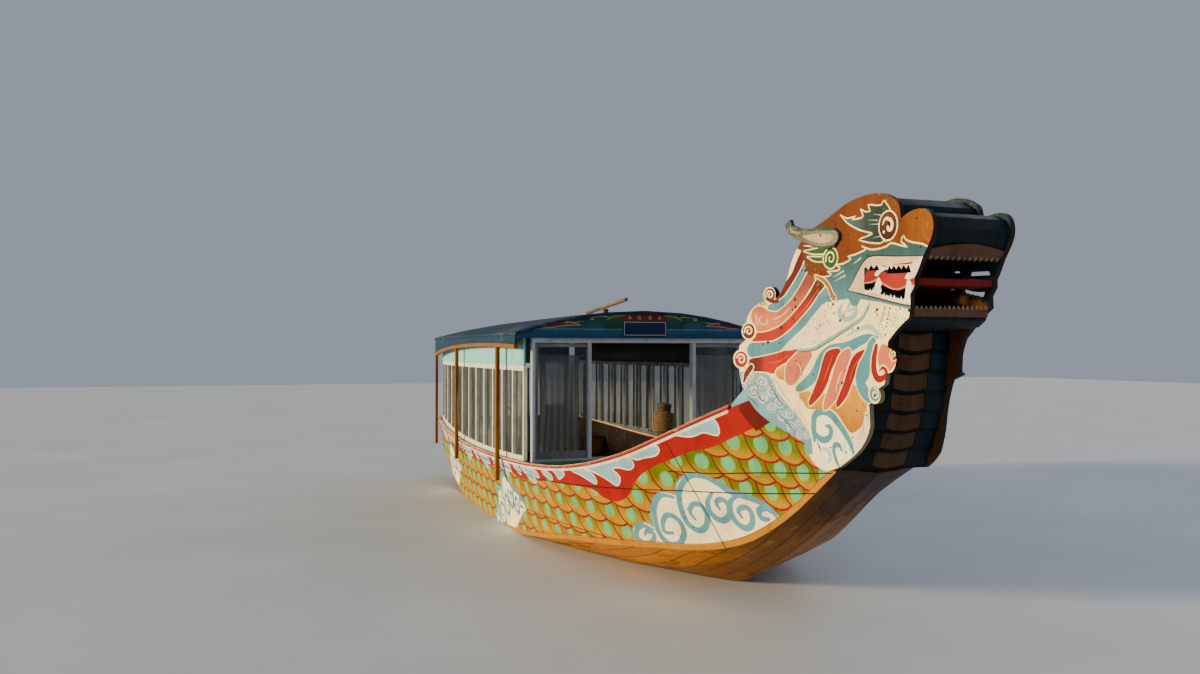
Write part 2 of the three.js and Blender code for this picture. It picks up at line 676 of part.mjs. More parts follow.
// Side views of the planking between the boards, each drawn along its outer face
const PLANKING = {
  neck: [[4745, 2090], [4740, 2200], [4790, 2450], [4900, 2800], [5030, 3080], [5150, 3270]],
  crown: [[5165, 3290], [5400, 3430], [5590, 3505], [5880, 3560], [6080, 3535], [6195, 3470], [6215, 3370]],
  snout: [[6245, 3340], [6330, 3375], [6450, 3380], [6535, 3340], [6565, 3260], [6540, 3170], [6470, 3075]],
  palate: [[5640, 2870], [5850, 3075], [5950, 3105], [6150, 3100], [6435, 3050]],
  jaw: [[5640, 2830], [6290, 2700], [6325, 2690], [6315, 2620], [6230, 2570], [5900, 2537]],
};
const TONGUE = [
  [5780, 2908], [6000, 2905], [6180, 2856], [6385, 2868],
  [6392, 2915], [6200, 2938], [6000, 2955], [5780, 2945],
];

function head() {
  const REACH = 1000; // past the boards to either side
  const holes = () => [
    toothGap(5885, 3004, 6010, 2997, () => 44, 0.7, 2),
    toothGap(6090, 2966, 6360, 2955, () => 60, 0.5, 5),
    toothGap(5835, 2900, 5950, 2903, () => -54, 0.5, 3),
    toothGap(6015, 2886, 6300, 2838, (t) => -68 - 18 * t, 0.45, 5, -18),
  ];
  const hornShape = fromSide(shapeOf(HORN), -REACH, REACH);
  const HORN_T = 28;
  const THROAT_EDGE = { starboard: curledThroat, port: plainThroat };
  for (const [name, side] of SIDES) {
    const outline = headOutline(THROAT_EDGE[name]);
    outline.holes.push(...holes());
    const profile = fromSide(outline, -REACH, REACH);
    add(`head_board_${name}`, profile.intersect(boardSlab(side, 0, BOARD_T)), "mane");
    add(`horn_${name}`, hornShape.intersect(boardSlab(side, BOARD_T + SEAT, HORN_T)), "horn");
  }

  const inside = betweenBoards();
  const skin = (points, t = SKIN_T) => boardAlong(points, t, -REACH, REACH).intersect(inside);
  add("neck_planks", skin(PLANKING.neck), "teal");
  add("crown_planks", skin(PLANKING.crown), "teal");
  add("snout_planks", skin(PLANKING.snout), "teal");
  add("palate", skin(PLANKING.palate, -SKIN_T), "belly");
  add("jaw_planks", skin(PLANKING.jaw), "teal");
  add("tongue", fromSide(shapeOf(TONGUE), -REACH, REACH).intersect(inside), "red");
  throat(inside);
}

// Overlapping belly plates, bulged forward between the boards
function throat(inside) {
  // z and x of the plates' side edges
  const EDGE_LINE = [[1440, 5480], [1670, 5630], [1930, 5735], [2240, 5785], [2535, 5840]];
  const PLATES = 7;
  const [bottom, top] = [1440, 2535];
  const LAP = 24; // a plate's lower edge stands proud
  const BULGE = [45, 90]; // at the bottom and at the top
  const FLAT = 160; // half width of the middle facet
  const SIDE = 480;
  const T = 26;
  const STEP = 4;
  const ring = (z, proud) => {
    const x = straight(EDGE_LINE, z) + proud;
    const bulge = BULGE[0] + ((z - bottom) / (top - bottom)) * (BULGE[1] - BULGE[0]);
    const back = x - proud - T;
    return [
      [x, -SIDE, z],
      [x + bulge, -FLAT, z],
      [x + bulge, FLAT, z],
      [x, SIDE, z],
      [back, SIDE, z],
      [back + bulge, FLAT, z],
      [back + bulge, -FLAT, z],
      [back, -SIDE, z],
    ];
  };
  const rings = [];
  const height = (top - bottom) / PLATES;
  for (let i = 0; i < PLATES; i++) {
    const foot = bottom + i * height;
    rings.push(ring(foot, LAP), ring(foot + height - STEP, 0));
  }
  add("throat_plates", loft(rings, (p) => [p[0], p[1]]).intersect(inside), "belly");
}

// Blue fillets that close the sheer to the mane
function fillets() {
  const FROM = CAP_END_X + 6;
  const TO = 4700;
  const RISE = 0.62;
  const top = (x) => line(x, SHEER_Z) + CAP_T + RISE * (x - FROM);
  for (const [name, side] of SIDES)
    add(
      `bow_fillet_${name}`,
      strip(side, FROM, TO, (x) => line(x, SHEER_Y), PLANK - 10, (x) => line(x, SHEER_Z) + SEAT, top),
      "blue",
    );
}

// Mooring post on the foredeck with the turns of a lashing
function mooring() {
  const POST = { x: 2380, y: -560, r: 75, top: 1830, sunk: 60, head: 8 };
  const LASH = { z0: 1490, r: 20, turns: 7, lap: 0.9 };
  const SEGMENTS = 14;
  const lathe = (profile) => {
    const g = new THREE.LatheGeometry(profile.map(([r, z]) => new THREE.Vector2(r, z)), SEGMENTS);
    g.rotateX(Math.PI / 2);
    g.translate(POST.x, POST.y, 0);
    return solid(g);
  };
  const { r, top, head } = POST;
  const foot = deckZ(POST.x) - POST.sunk;
  const post = [
    [0, foot], [r, foot], [r, top - 60], [r + head, top - 50],
    [r + head, top - 20], [r - 20, top], [0, top],
  ];
  add("mooring_post", lathe(post).subtract(deckCut()), "timber");

  const inner = r + 1;
  const pitch = 2 * LASH.r * LASH.lap;
  const rope = [[inner, LASH.z0]];
  for (let i = 0; i < LASH.turns; i++) {
    const z = LASH.z0 + (i + 0.5) * pitch;
    const side = 0.6 * LASH.r;
    rope.push([inner + LASH.r, z - side], [inner + 2 * LASH.r, z], [inner + LASH.r, z + side]);
  }
  rope.push([inner, LASH.z0 + LASH.turns * pitch], [inner, LASH.z0]);
  add("mooring_lashing", lathe(rope), "rope");
}

// Everything below the foredeck's boards, to trim what stands on them
function deckCut() {
  const rings = [2000, 2500, 3100].map((x) => {
    const z = deckZ(x) + DECK + 2 * SEAT;
    return [[x, -1400, 0], [x, 1400, 0], [x, 1400, z], [x, -1400, z]];
  });
  return loft(rings);
}

// Steering and drive
function sternGear() {
  const SHAFT = { z: -190, r: 24, tube: 46, from: -4500, tubeEnd: -5050, end: -5420 };
  const spin = (profile, segments) => {
    const g = new THREE.LatheGeometry(profile.map(([r, x]) => new THREE.Vector2(r, x)), segments);
    g.rotateZ(-Math.PI / 2);
    g.translate(0, 0, SHAFT.z);
    return solid(g);
  };
  const bore = SHAFT.r + 0.9;
  const DEPTH = 220;
  const tube = [
    [0, SHAFT.tubeEnd + DEPTH], [bore, SHAFT.tubeEnd + DEPTH], [bore, SHAFT.tubeEnd],
    [SHAFT.tube, SHAFT.tubeEnd], [SHAFT.tube, SHAFT.from - SEAT], [0, SHAFT.from - SEAT],
  ];
  add("stern_tube", spin(tube, 20), "bronze");

  const HUB = { r: 48, from: -5240, to: -5380 };
  const shaft = spin([
    [0, HUB.to - 40], [20, HUB.to - 30], [HUB.r - 8, HUB.to], [HUB.r, HUB.from],
    [SHAFT.r, HUB.from + 10], [SHAFT.r, SHAFT.tubeEnd + DEPTH - 4], [0, SHAFT.tubeEnd + DEPTH - 4],
  ], 20);
  const BLADES = 3;
  const BLADE = { root: 30, tip: 215, wide: 95, t: 12, pitch: 0.75 };
  const blade = new THREE.Shape();
  blade.moveTo(-32, BLADE.root);
  blade.quadraticCurveTo(-BLADE.wide, 150, -40, BLADE.tip);
  blade.quadraticCurveTo(10, BLADE.tip + 14, 50, BLADE.tip - 25);
  blade.quadraticCurveTo(BLADE.wide, 120, 32, BLADE.root);
  const blades = [];
  for (let i = 0; i < BLADES; i++) {
    const g = new THREE.ExtrudeGeometry(blade, { ...EXTRUDE, depth: BLADE.t });
    g.translate(0, 0, -BLADE.t / 2);
    g.rotateY(BLADE.pitch);
    g.rotateX(Math.PI / 2);
    g.rotateX((2 * Math.PI * i) / BLADES);
    g.translate((HUB.from + HUB.to) / 2, 0, SHAFT.z);
    blades.push(solid(g));
  }
  add("propeller", union([shaft, ...blades]), "bronze");

  // Transom-hung rudder on two gudgeons, with its tiller over the transom
  const STOCK = { x: -6640, r: 28, bottom: 330, top: 1330 };
  const rod = (r, z0, z1, segments = 16) => {
    const g = new THREE.CylinderGeometry(r, r, z1 - z0, segments);
    g.rotateX(Math.PI / 2);
    g.translate(STOCK.x, 0, (z0 + z1) / 2);
    return solid(g);
  };
  const BLADE_T = 36;
  const plate = fromSide(
    shapeOf([[-6605, 420], [-6605, -330], [-6960, -360], [-7000, -60], [-6930, 240], [-6700, 420]]),
    -BLADE_T / 2, BLADE_T / 2,
  );
  add("rudder", union([plate, rod(STOCK.r, STOCK.bottom, STOCK.top)]), "timber");
  const TILLER = { tip: -5960, t: 22, z0: 1262, z1: 1306 };
  const collar = rod(STOCK.r + 26, TILLER.z0 - 10, TILLER.z1 + 10);
  const arm = block(STOCK.x + 10, TILLER.tip, -TILLER.t, TILLER.t, TILLER.z0, TILLER.z1);
  add("tiller", union([collar, arm]).subtract(rod(STOCK.r + 0.5, 1200, 1400)), "timber");
  const GUDGEON = { zs: [560, 980], height: 50, r: 46 };
  const plateX = TRANSOM_X - PLANK - 2 * SEAT;
  GUDGEON.zs.forEach((z, i) => {
    const eye = rod(GUDGEON.r, z, z + GUDGEON.height);
    const strap = block(STOCK.x, plateX, -30, 30, z, z + GUDGEON.height);
    const flange = block(plateX - 10, plateX, -70, 70, z - 25, z + GUDGEON.height + 25);
    const made = union([eye, strap, flange]).subtract(rod(STOCK.r + 1, z - 50, z + 150));
    add(`gudgeon_${["lower", "upper"][i]}`, made, "iron");
  });
}

// A pole kept on the roof, its butt on the crown and its fore end on a chock
function roofPole() {
  const R = 24;
  const CHOCK = { x: 0, h: 52, w: 32, t: 40 };
  const y = -360;
  const FACET = 5.4; // the roof's facets lie this much under its true arch here
  const crown = (x) => EAVE_Z + ROOF_ARCH * (roofHalf(x) ** 2 - y * y);
  const [xa, xb] = [-700, 760];
  const za = crown(xa) + R + SEAT - FACET;
  const chockTop = crown(CHOCK.x) + CHOCK.h;
  const slope = (chockTop + R + SEAT - za) / (CHOCK.x - xa);
  const g = new THREE.CylinderGeometry(R, R, (xb - xa) * Math.hypot(1, slope), 10);
  g.rotateZ(-Math.PI / 2);
  g.rotateY(-Math.atan(slope));
  g.translate((xa + xb) / 2, y, za + (slope * (xb - xa)) / 2);
  add("roof_pole", solid(g), "timber");
  const chock = block(CHOCK.x - CHOCK.t, CHOCK.x + CHOCK.t, y - CHOCK.w, y + CHOCK.w,
    2700, chockTop - 4);
  const keep = loft(roofXs.map((x) => archRing(x, -SEAT, CUT_RISE)));
  add("pole_chock", chock.intersect(keep), "timber");
}

hull();
decks();
roof();
cabinSides();
cabinFront();
cabinRear();
head();
fillets();
mooring();
sternGear();
roofPole();

export default boat;
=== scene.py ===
import math
import random
from collections import Counter

import bpy
import numpy as np
from mathutils import Matrix, Vector
from mathutils.geometry import delaunay_2d_cdt


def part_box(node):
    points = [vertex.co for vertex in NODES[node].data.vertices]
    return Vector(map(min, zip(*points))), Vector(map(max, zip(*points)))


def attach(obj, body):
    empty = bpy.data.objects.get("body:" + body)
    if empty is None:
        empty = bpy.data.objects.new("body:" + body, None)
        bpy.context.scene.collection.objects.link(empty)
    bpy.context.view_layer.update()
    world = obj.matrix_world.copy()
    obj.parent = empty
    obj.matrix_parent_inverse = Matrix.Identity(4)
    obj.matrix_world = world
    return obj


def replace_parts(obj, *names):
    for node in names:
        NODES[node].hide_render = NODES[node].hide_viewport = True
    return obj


# Looks of the river dragon boat. Metres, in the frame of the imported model.

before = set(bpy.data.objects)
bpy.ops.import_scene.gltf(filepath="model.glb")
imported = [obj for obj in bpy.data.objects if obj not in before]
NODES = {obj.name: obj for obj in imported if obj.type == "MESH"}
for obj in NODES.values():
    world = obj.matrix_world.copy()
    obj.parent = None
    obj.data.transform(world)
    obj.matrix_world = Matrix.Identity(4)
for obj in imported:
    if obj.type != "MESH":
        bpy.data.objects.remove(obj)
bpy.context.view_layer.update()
SIDES = (("starboard", -1), ("port", 1))
FORWARD = (1, 0, 0)
SIDEWAYS_PLANE, CROSS_PLANE = (0, 2), (1, 2)  # the axes of figures drawn from the side and from ahead

# Camera at the photograph's place

EYE = Vector((12.33, -4.92, 2.4))
HEADING = math.radians(160.0)
PITCH = math.radians(0.745)

camera = bpy.data.objects.new("camera", bpy.data.cameras.new("camera"))
bpy.context.scene.collection.objects.link(camera)
camera.data.sensor_width = 36.0
camera.data.lens = 30.0
ahead = Vector((math.cos(HEADING) * math.cos(PITCH), math.sin(HEADING) * math.cos(PITCH), math.sin(PITCH)))
camera.matrix_world = Matrix.Translation(EYE) @ ahead.to_track_quat("-Z", "Y").to_matrix().to_4x4()
bpy.context.scene.camera = camera

# Colours, as sRGB codes

OCHRE, RUST, NOSE = 0x6E3400, 0x5E2A00, 0x804400
TEAL, BROW_DEEP, CREAM, CHEEK, GUM = 0x2E5256, 0x22342E, 0xFBE6A4, 0xFFEAAA, 0xE4BC92
BLACK, EYE_BROWN = 0x0C0806, 0x3A140A
RED, DARK_RED, PINK, BLUE = 0x8C0A00, 0x580C08, 0xC8684A, 0x4A8496
YELLOW, LEAF = 0x9A6000, 0x1A4C22
BAND_RED, SCALE_TIP, SCALE_YELLOW, SCALE_GREEN = 0x980A00, 0xA06000, 0xB28000, 0x446A00
MINT, SCALE_LINE, CLOUD, CLOUD_BLUE = 0x5EB47C, 0x841000, 0xFFECC0, 0x5890A6
CHINE_YELLOW, SEAM, DIRT = 0xB47600, 0x20120A, 0x2A2018

# Skirt and wave
SKIRT_BLUE, SKIRT_PALE, PUFF, PUFF_PALE, PUFF_LINE = 0x5E8CA0, 0x78A2B0, 0xAEB4BC, 0xCFC4C2, 0x557F96
PUFF_SHADE, ROSE_LINE, ROSE, WORN, WORN_PALE = 0x3F6B82, 0xDCA894, 0xB87468, 0xE4CDB4, 0xF0DCC4
WORN_LINE, FOAM, FOAM_PALE, WAVE_PALE, ICE = 0xB89C80, 0xF6E8B4, 0xFFF2C8, 0xA8BCC8, 0xB8CCC8
CRACK = 0x4A3A2C

# Mane
DUSKY_FOOT, DUSKY_HEAD, EMBER_FOOT, EMBER_HEAD = 0xD0744E, 0x883A2C, 0xAC1800, 0x5E1410
TORCH_DARK, TORCH_BRIGHT, GOLD, GOLD_PALE, TIP_GROUND = 0x64140E, 0xAC1400, 0xB87A00, 0xD0A030, 0xA86800
TIP_PALE, LOCK_LIGHT, LOCK_GLOW, STRAW = 0xC88C08, 0xF0D4B0, 0xC8502C, 0xB8AC60

# Cheek
CHEEK_EDGE, CHEEK_WARM, WHISKER, WHISKER_SHADE = 0xF0DEB0, 0xF0D6B4, 0x7E9E9C, 0x40504A
WHISKER_END, MOSS, SPOT, SMOKE, LOOP_BLUE = 0x506460, 0x7C8E80, 0x4A4234, 0xB0B09C, 0x8FB6BC
LIP_BLUE, SPECK, SPECK_PALE = 0x9CBCBC, 0x4A4034, 0x6A5C44

# Face and mouth
FACE_BLUE, BROW_PALE, HAIR, EYE_PALE, EYE_GLINT = 0x4A7686, 0x42565A, 0xA8B8AC, 0x5A2A1C, 0xD8C8A4
NOSTRIL, NOSTRIL_PALE, FORK_SHADE, GUM_EDGE, LOWER_TEETH = 0x8A4A16, 0x9A5A1C, 0x56696E, 0xD2B49C, 0xE8DCC0
TONGUE_ROOT, TONGUE_TIP, TONGUE_LIGHT, FANG, MOUTH_LINE = 0x861C16, 0x9C2A20, 0xC87868, 0xEFE4CC, 0x2A3030

# Nails, and the faces of the head boards that carry no figures
NAIL_LARGE, NAIL, JAW_BACK, BOARD_BACK, LIT_EDGE = 0x1A1010, 0x1E1814, 0x6B3F1E, 0x22343A, 0x8E7A5C
BOARD_EDGE = 0x2E241E

# Horns
HORN_GROUND, HORN_BACK, HORN_DARK, HORN_PALE, HORN_LIGHT = 0x2C4442, 0x30403E, 0x4C4C46, 0x7E7660, 0xB0A07E
HORN_TIP, HORN_SPECK = 0x988C70, 0x8E7A4A

# Side
INSIDE_SHADE, SIDE_EDGE, HALO_LOW, HALO_HIGH, MINT_HIGH = 0x241810, 0xB98A34, 0x88A838, 0x64A060, 0x56A87A
BAND_AFT, BAND_SHADOW, FLAME_LINE, FLAME_BLUE, SHEER_LINE = 0x9C140A, 0x5E0802, 0xEFE6D8, 0x86B4C6, 0xE6DCC8
CHINE_SHADE, SIDE_NAIL = 0x8A4A14, 0x3A2418

# Throat plates
PLATE_FOOT, PLATE_HEAD, PLATE_BACK, STRIP_FOOT = 0x121A1A, 0x161E20, 0x14110F, 0x4E3824
STRIP_HEAD, PORT_FOOT, PORT_HEAD, STRIP_LAP_SHADOW, SIDE_LAP_SHADOW = 0x5C3E28, 0x13222A, 0x172A34, 0x100B08, 0x0A0E10
STRIP_EDGE, PLATE_NAIL = 0x100E0E, 0x0C0A0A

# Fascia
FASCIA_FOOT, FASCIA_HEAD, FASCIA_BACK, WAVES, WAVES_LINE = 0x1C4434, 0x245842, 0x2A3C38, 0x2C5468, 0x948868
LEAF_RED, LEAF_EDGE, LEAF_BRIGHT, LEAF_STRAW = 0x8E3A26, 0xC8B898, 0x9A3C28, 0xB8A878
SCROLL_PALE, LEAF_OLIVE, CREST, CREST_SCROLL = 0xD8C8A0, 0x7E8E4A, 0x7A2C1E, 0xD8B890
STRIPE_FOOT, STRIPE_HEAD, STRIPE_LINE = 0x1E4464, 0x2A5A78, 0x6A8890


def linear(code):
    """A colour code as the shaders take it."""
    parts = [((code >> shift) & 255) / 255 for shift in (16, 8, 0)]
    return tuple(p / 12.92 if p <= 0.04045 else ((p + 0.055) / 1.055) ** 2.4 for p in parts) + (1.0,)


def between(code_a, code_b, low, high, axis):
    """A colour that runs from one to the other as a coordinate goes from low to high."""
    a, b = np.array(linear(code_a)), np.array(linear(code_b))

    def tint(points):
        t = np.clip((points[:, axis] - low) / (high - low), 0, 1)[:, None]
        t = t * t * (3 - 2 * t)
        return a + t * (b - a)

    return tint


# Materials


class Graph:
    """A material built up step by step around one Principled shader."""

    def __init__(self, name):
        self.material = bpy.data.materials.new(name)
        self.material.use_nodes = True
        self.tree = self.material.node_tree
        self.tree.nodes.clear()
        self.shader = self.node("BsdfPrincipled")
        self.put(self.node("OutputMaterial").inputs["Surface"], self.shader.outputs[0])
        self.place = self.node("TexCoord").outputs["Object"]

    def node(self, kind, **settings):
        node = self.tree.nodes.new("ShaderNode" + kind)
        for key, value in settings.items():
            setattr(node, key, value)
        return node

    def put(self, socket, value):
        if isinstance(value, bpy.types.NodeSocket):
            self.tree.links.new(value, socket)
        else:
            socket.default_value = value

    def noise(self, scale, detail=3.0, stretch=(1, 1, 1), rough=0.55, warp=0.0, at=(0, 0, 0)):
        where = self.node("Mapping")
        self.put(where.inputs["Vector"], self.place)
        where.inputs["Scale"].default_value = stretch
        where.inputs["Location"].default_value = at
        node = self.node("TexNoise")
        self.put(node.inputs["Vector"], where.outputs[0])
        for key, value in (("Scale", scale), ("Detail", detail), ("Roughness", rough), ("Distortion", warp)):
            node.inputs[key].default_value = value
        return node.outputs[0]

    def span(self, value, low, high, to_low=0.0, to_high=1.0):
        """A value moved from one range to another, and held inside it."""
        node = self.node("MapRange")
        for socket, v in zip(node.inputs, (value, low, high, to_low, to_high)):
            self.put(socket, v)
        return node.outputs[0]

    def math(self, operation, a, b=0.0, c=0.0):
        node = self.node("Math", operation=operation)
        for socket, v in zip(node.inputs, (a, b, c)):
            self.put(socket, v)
        return node.outputs[0]

    def mix(self, factor, a, b, how="MIX"):
        node = self.node("Mix", data_type="RGBA", blend_type=how)
        self.put(node.inputs[0], factor)
        self.put(node.inputs[6], a)
        self.put(node.inputs[7], b)
        return node.outputs[2]

    def grey(self, value):
        node = self.node("CombineColor")
        for socket in node.inputs:
            self.put(socket, value)
        return node.outputs[0]

    def axis(self, which, of=None):
        """One coordinate of the place on the surface, or of another vector."""
        node = self.node("SeparateXYZ")
        self.put(node.inputs[0], self.place if of is None else of)
        return node.outputs[which]

    def turned(self, which):
        """One coordinate of the way the surface faces."""
        return self.axis(which, self.node("TexCoord").outputs["Normal"])

    def bump(self, height, distance):
        node = self.node("Bump")
        node.inputs["Distance"].default_value = distance
        self.put(node.inputs["Height"], height)
        return node.outputs[0]

    def edges(self, radius):
        """1 along sharp edges, 0 on flats."""
        rounded = self.node("Bevel", samples=4)
        rounded.inputs["Radius"].default_value = radius
        dot = self.node("VectorMath", operation="DOT_PRODUCT")
        self.put(dot.inputs[0], rounded.outputs[0])
        self.put(dot.inputs[1], self.node("NewGeometry").outputs["Normal"])
        return self.span(dot.outputs["Value"], 0.985, 0.8)

    def lines(self, which, pitch, width, wander=0.0):
        """Seams between boards: 1 in the seam. And a number for each board."""
        along = self.math("MULTIPLY_ADD", self.noise(1.3), wander, self.axis(which))
        cell = self.math("DIVIDE", along, pitch)
        part = self.math("FRACT", cell)
        off = self.math("ABSOLUTE", self.math("SUBTRACT", part, 0.5))
        seam = self.span(off, 0.5 - width / pitch, 0.5 - 0.35 * width / pitch)
        each = self.node("TexWhiteNoise", noise_dimensions="1D")
        self.put(each.inputs["W"], self.math("FLOOR", cell))
        return seam, each.outputs["Value"]

    def planks(self, color, height, boards, dark, tones, depth=0.85):
        """Boards and their seams: each board of its own tone, and each seam dark and sunk."""
        seam, each = self.lines(*boards)
        color = self.mix(1.0, color, self.grey(self.span(each, 0, 1, *tones)), "MULTIPLY")
        color = self.mix(self.math("MULTIPLY", seam, depth), color, linear(dark))
        return color, self.math("SUBTRACT", height, self.math("MULTIPLY", seam, 3.0))

    def finish(self, color, roughness, normal=None, **more):
        self.put(self.shader.inputs["Base Color"], color)
        self.put(self.shader.inputs["Roughness"], roughness)
        if normal is not None:
            self.put(self.shader.inputs["Normal"], normal)
        for key, value in more.items():
            self.put(self.shader.inputs[key.replace("_", " ")], value)
        return self.material


def painted(name, coat=None, bare=0x8E7A5E, rough=0.5, chips=0.4, soil=0.4, edge=0.0, grain=(0.25, 1, 1),
            boards=None, tone=0.16, inside=None):
    """Hand-laid paint on wood, chipped and soiled. Without a coat colour it takes the painted figures.
    boards is (axis, pitch, seam width), and edge the width of the wear along sharp edges. inside is the
    dark colour painted on the faces turned to the centreline, as painted shade inside the cabin."""
    g = Graph(name)
    color = g.node("Attribute", attribute_name="paint").outputs["Color"] if coat is None else linear(coat)
    # Painted shade: the faces turned to the centreline take the dark inside colour
    if inside is not None:
        inward = g.span(g.math("MULTIPLY", g.turned(1), g.axis(1)), -0.2, -0.4)
        color = g.mix(inward, color, linear(inside))
    large = g.noise(1.6, 4)
    fine = g.noise(34, 5, rough=0.68)
    fibre = g.noise(46, 4, tuple(0.12 if s < 1 else s for s in grain), rough=0.6)
    shade = g.span(g.noise(5.5, 3, at=(3, 1, 2)), 0.3, 0.7, 1 - tone, 1 + 0.5 * tone)
    color = g.mix(1.0, color, g.grey(shade), "MULTIPLY")
    height = g.math("MULTIPLY", fibre, 0.35)
    if boards:
        color, height = g.planks(color, height, boards, DIRT, (0.8, 1.12))
    wear = g.math("MULTIPLY_ADD", large, 0.62, fine)
    if edge:
        wear = g.math("MULTIPLY_ADD", g.edges(edge), 0.3, wear)
    limit = 1.08 - 0.17 * chips
    chip = g.span(wear, limit, limit + 0.018)
    wood = g.mix(g.span(fibre, 0.35, 0.65), linear(bare), g.mix(0.5, linear(bare), linear(DIRT)))
    color = g.mix(g.math("MULTIPLY", chip, 0.85), color, wood)
    streaks = g.noise(3.4, 5, (2.6, 2.6, 0.35), rough=0.6, at=(5, 0, 0))
    grime = g.math("MULTIPLY", g.span(streaks, 0.5, 0.78), soil)
    color = g.mix(grime, color, g.mix(1.0, color, linear(0x8A7458), "MULTIPLY"))
    specks = g.span(g.noise(120, 2, at=(0, 7, 0)), 0.72, 0.78, 0, 0.5 * soil)
    color = g.mix(specks, color, linear(DIRT))
    height = g.math("SUBTRACT", height, g.math("MULTIPLY", chip, 0.7))
    roughness = g.span(g.math("ADD", grime, chip), 0, 1, rough, 0.86)
    return g.finish(color, roughness, g.bump(height, 0.0012), Specular_IOR_Level=0.14)


def bottom_paint(name):
    """Golden paint along the waterline and bilge that darkens to tarred brown at the bow and keel. The gold
    is partly painted light reflected up from the water, the brown partly painted shade, and lighter streaks
    along the planks are painted glints.
    """
    g = Graph(name)
    x, y, z = (g.axis(i) for i in range(3))
    drift = g.noise(0.9, 5, (0.5, 2.2, 2.2), rough=0.65)
    fibre = g.noise(30, 5, (0.08, 1, 1), rough=0.65)
    # Darker towards the bow and keel, partly painted shade; the gold left elsewhere is partly painted
    # reflected light
    forward = g.span(g.math("MULTIPLY_ADD", drift, 1.6, x), 4.2, 6.0)
    inward = g.span(g.math("MULTIPLY_ADD", drift, -0.5, g.math("ABSOLUTE", y)), 0.55, -0.15)
    shade_and_age = g.math("MAXIMUM", forward, g.math("MULTIPLY", inward, 0.5))
    color = g.mix(shade_and_age, linear(0xD08400), linear(0x301606))
    color = g.mix(g.span(fibre, 0.3, 0.7, 0, 0.5), color, g.mix(shade_and_age, linear(0x8A4E04), linear(0x2A1408)))
    patches = g.span(g.noise(2.6, 6, (0.5, 1.4, 1.4), rough=0.7, at=(4, 0, 0)), 0.55, 0.65, 0, 0.7)
    color = g.mix(patches, color, linear(0x5E3204))
    # Painted glints: lighter gold streaks along the planks that stand for sunlit ridges
    glints = g.span(g.noise(5.5, 6, (0.3, 1.6, 1.6), rough=0.7, at=(0, 3, 0)), 0.6, 0.68, 0, 0.6)
    color = g.mix(g.math("MULTIPLY", glints, g.span(shade_and_age, 0, 1, 1, 0.3)), color, linear(0xF0B440))
    color, height = g.planks(color, fibre, (1, 0.17, 0.007, 0.06), 0x1A0E06, (0.78, 1.15))
    color = g.mix(g.span(g.turned(0), -0.7, -0.9), color, linear(0x3A281A))
    weed = g.span(g.math("MULTIPLY_ADD", drift, 0.3, z), 0.28, 0.12, 0, 0.7)
    color = g.mix(weed, color, linear(0x2C2410))
    return g.finish(color, g.span(patches, 0, 1, 0.42, 0.7), g.bump(height, 0.0016), Specular_IOR_Level=0.16)


def cap_paint(name):
    """The gunwale: worn cream on top, its outer face red as the band below."""
    g = Graph(name)
    worn = g.noise(5, 6, (0.5, 2, 2), rough=0.7)
    fine = g.noise(60, 4, (0.3, 1, 1), rough=0.7)
    top = g.mix(g.span(worn, 0.45, 0.6), linear(0xE4D8B4), linear(0x9C8460))
    top = g.mix(g.span(fine, 0.5, 0.68, 0, 0.8), top, linear(0x5A4430))
    face = g.mix(g.span(worn, 0.6, 0.7), linear(0xA41804), linear(0xD8C098))
    face = g.mix(g.span(fine, 0.62, 0.72, 0, 0.6), face, linear(0x6A4028))
    outer = g.span(g.math("MULTIPLY_ADD", fine, 0.3, g.turned(2)), 0.62, 0.5)
    return g.finish(g.mix(outer, top, face), 0.66, g.bump(g.math("ADD", worn, fine), 0.0012),
                    Specular_IOR_Level=0.3)


def wood(name, light, dark, boards=None, grain=(0.1, 1, 1)):
    """Bare weathered timber. grain is small along the axis that the grain follows."""
    g = Graph(name)
    fibre = g.noise(38, 6, grain, rough=0.65, warp=0.4)
    broad = g.noise(3.2, 4, grain)
    color = g.mix(g.span(fibre, 0.3, 0.7), linear(dark), linear(light))
    color = g.mix(g.span(broad, 0.35, 0.75, 0, 0.55), color, g.mix(1.0, color, linear(0x9A8A78), "MULTIPLY"))
    height = fibre
    if boards:
        color, height = g.planks(color, height, boards, 0x120D08, (0.72, 1.15), 0.9)
    stain = g.span(g.noise(1.4, 4, at=(9, 0, 0)), 0.5, 0.75, 0, 0.5)
    color = g.mix(stain, color, linear(dark))
    return g.finish(color, g.span(fibre, 0, 1, 0.7, 0.9), g.bump(height, 0.0016),
                    Specular_IOR_Level=0.3)


def metal(name, color, rough, dull, rust=0.0, metallic=0.85):
    """Metal with dull clouds and, where rust is given, spots of rust."""
    g = Graph(name)
    cloud = g.noise(7, 5, rough=0.6)
    fine = g.noise(90, 3, (0.2, 1, 1))
    base = g.mix(g.span(cloud, 0.4, 0.7, 0, 0.7), linear(color), linear(dull))
    if rust:
        spots = g.span(g.noise(16, 6, rough=0.7), 0.62 - 0.2 * rust, 0.7)
        base = g.mix(spots, base, linear(0x5A2E18))
        g.put(g.shader.inputs["Metallic"], g.span(spots, 0, 1, metallic, 0.0))
    else:
        g.shader.inputs["Metallic"].default_value = metallic
    return g.finish(base, g.span(cloud, 0.3, 0.7, rough - 0.08, rough + 0.14), g.bump(fine, 0.0003))


def glass(name):
    """Thin glass, dusty and clearer when looked at squarely."""
    g = Graph(name)
    dust = g.noise(2.2, 5, (1, 1, 0.6), rough=0.65)
    rim = g.node("LayerWeight")
    rim.inputs["Blend"].default_value = 0.32
    clear = g.math("MULTIPLY_ADD", rim.outputs["Fresnel"], 0.5, g.span(dust, 0.4, 0.75, 0.12, 0.3))
    base = g.mix(g.span(dust, 0.45, 0.8, 0.1, 0.7), linear(0x2A3438), linear(0x9AA09A))
    return g.finish(base, g.span(dust, 0.4, 0.8, 0.04, 0.22), Alpha=clear, Specular_IOR_Level=0.8)


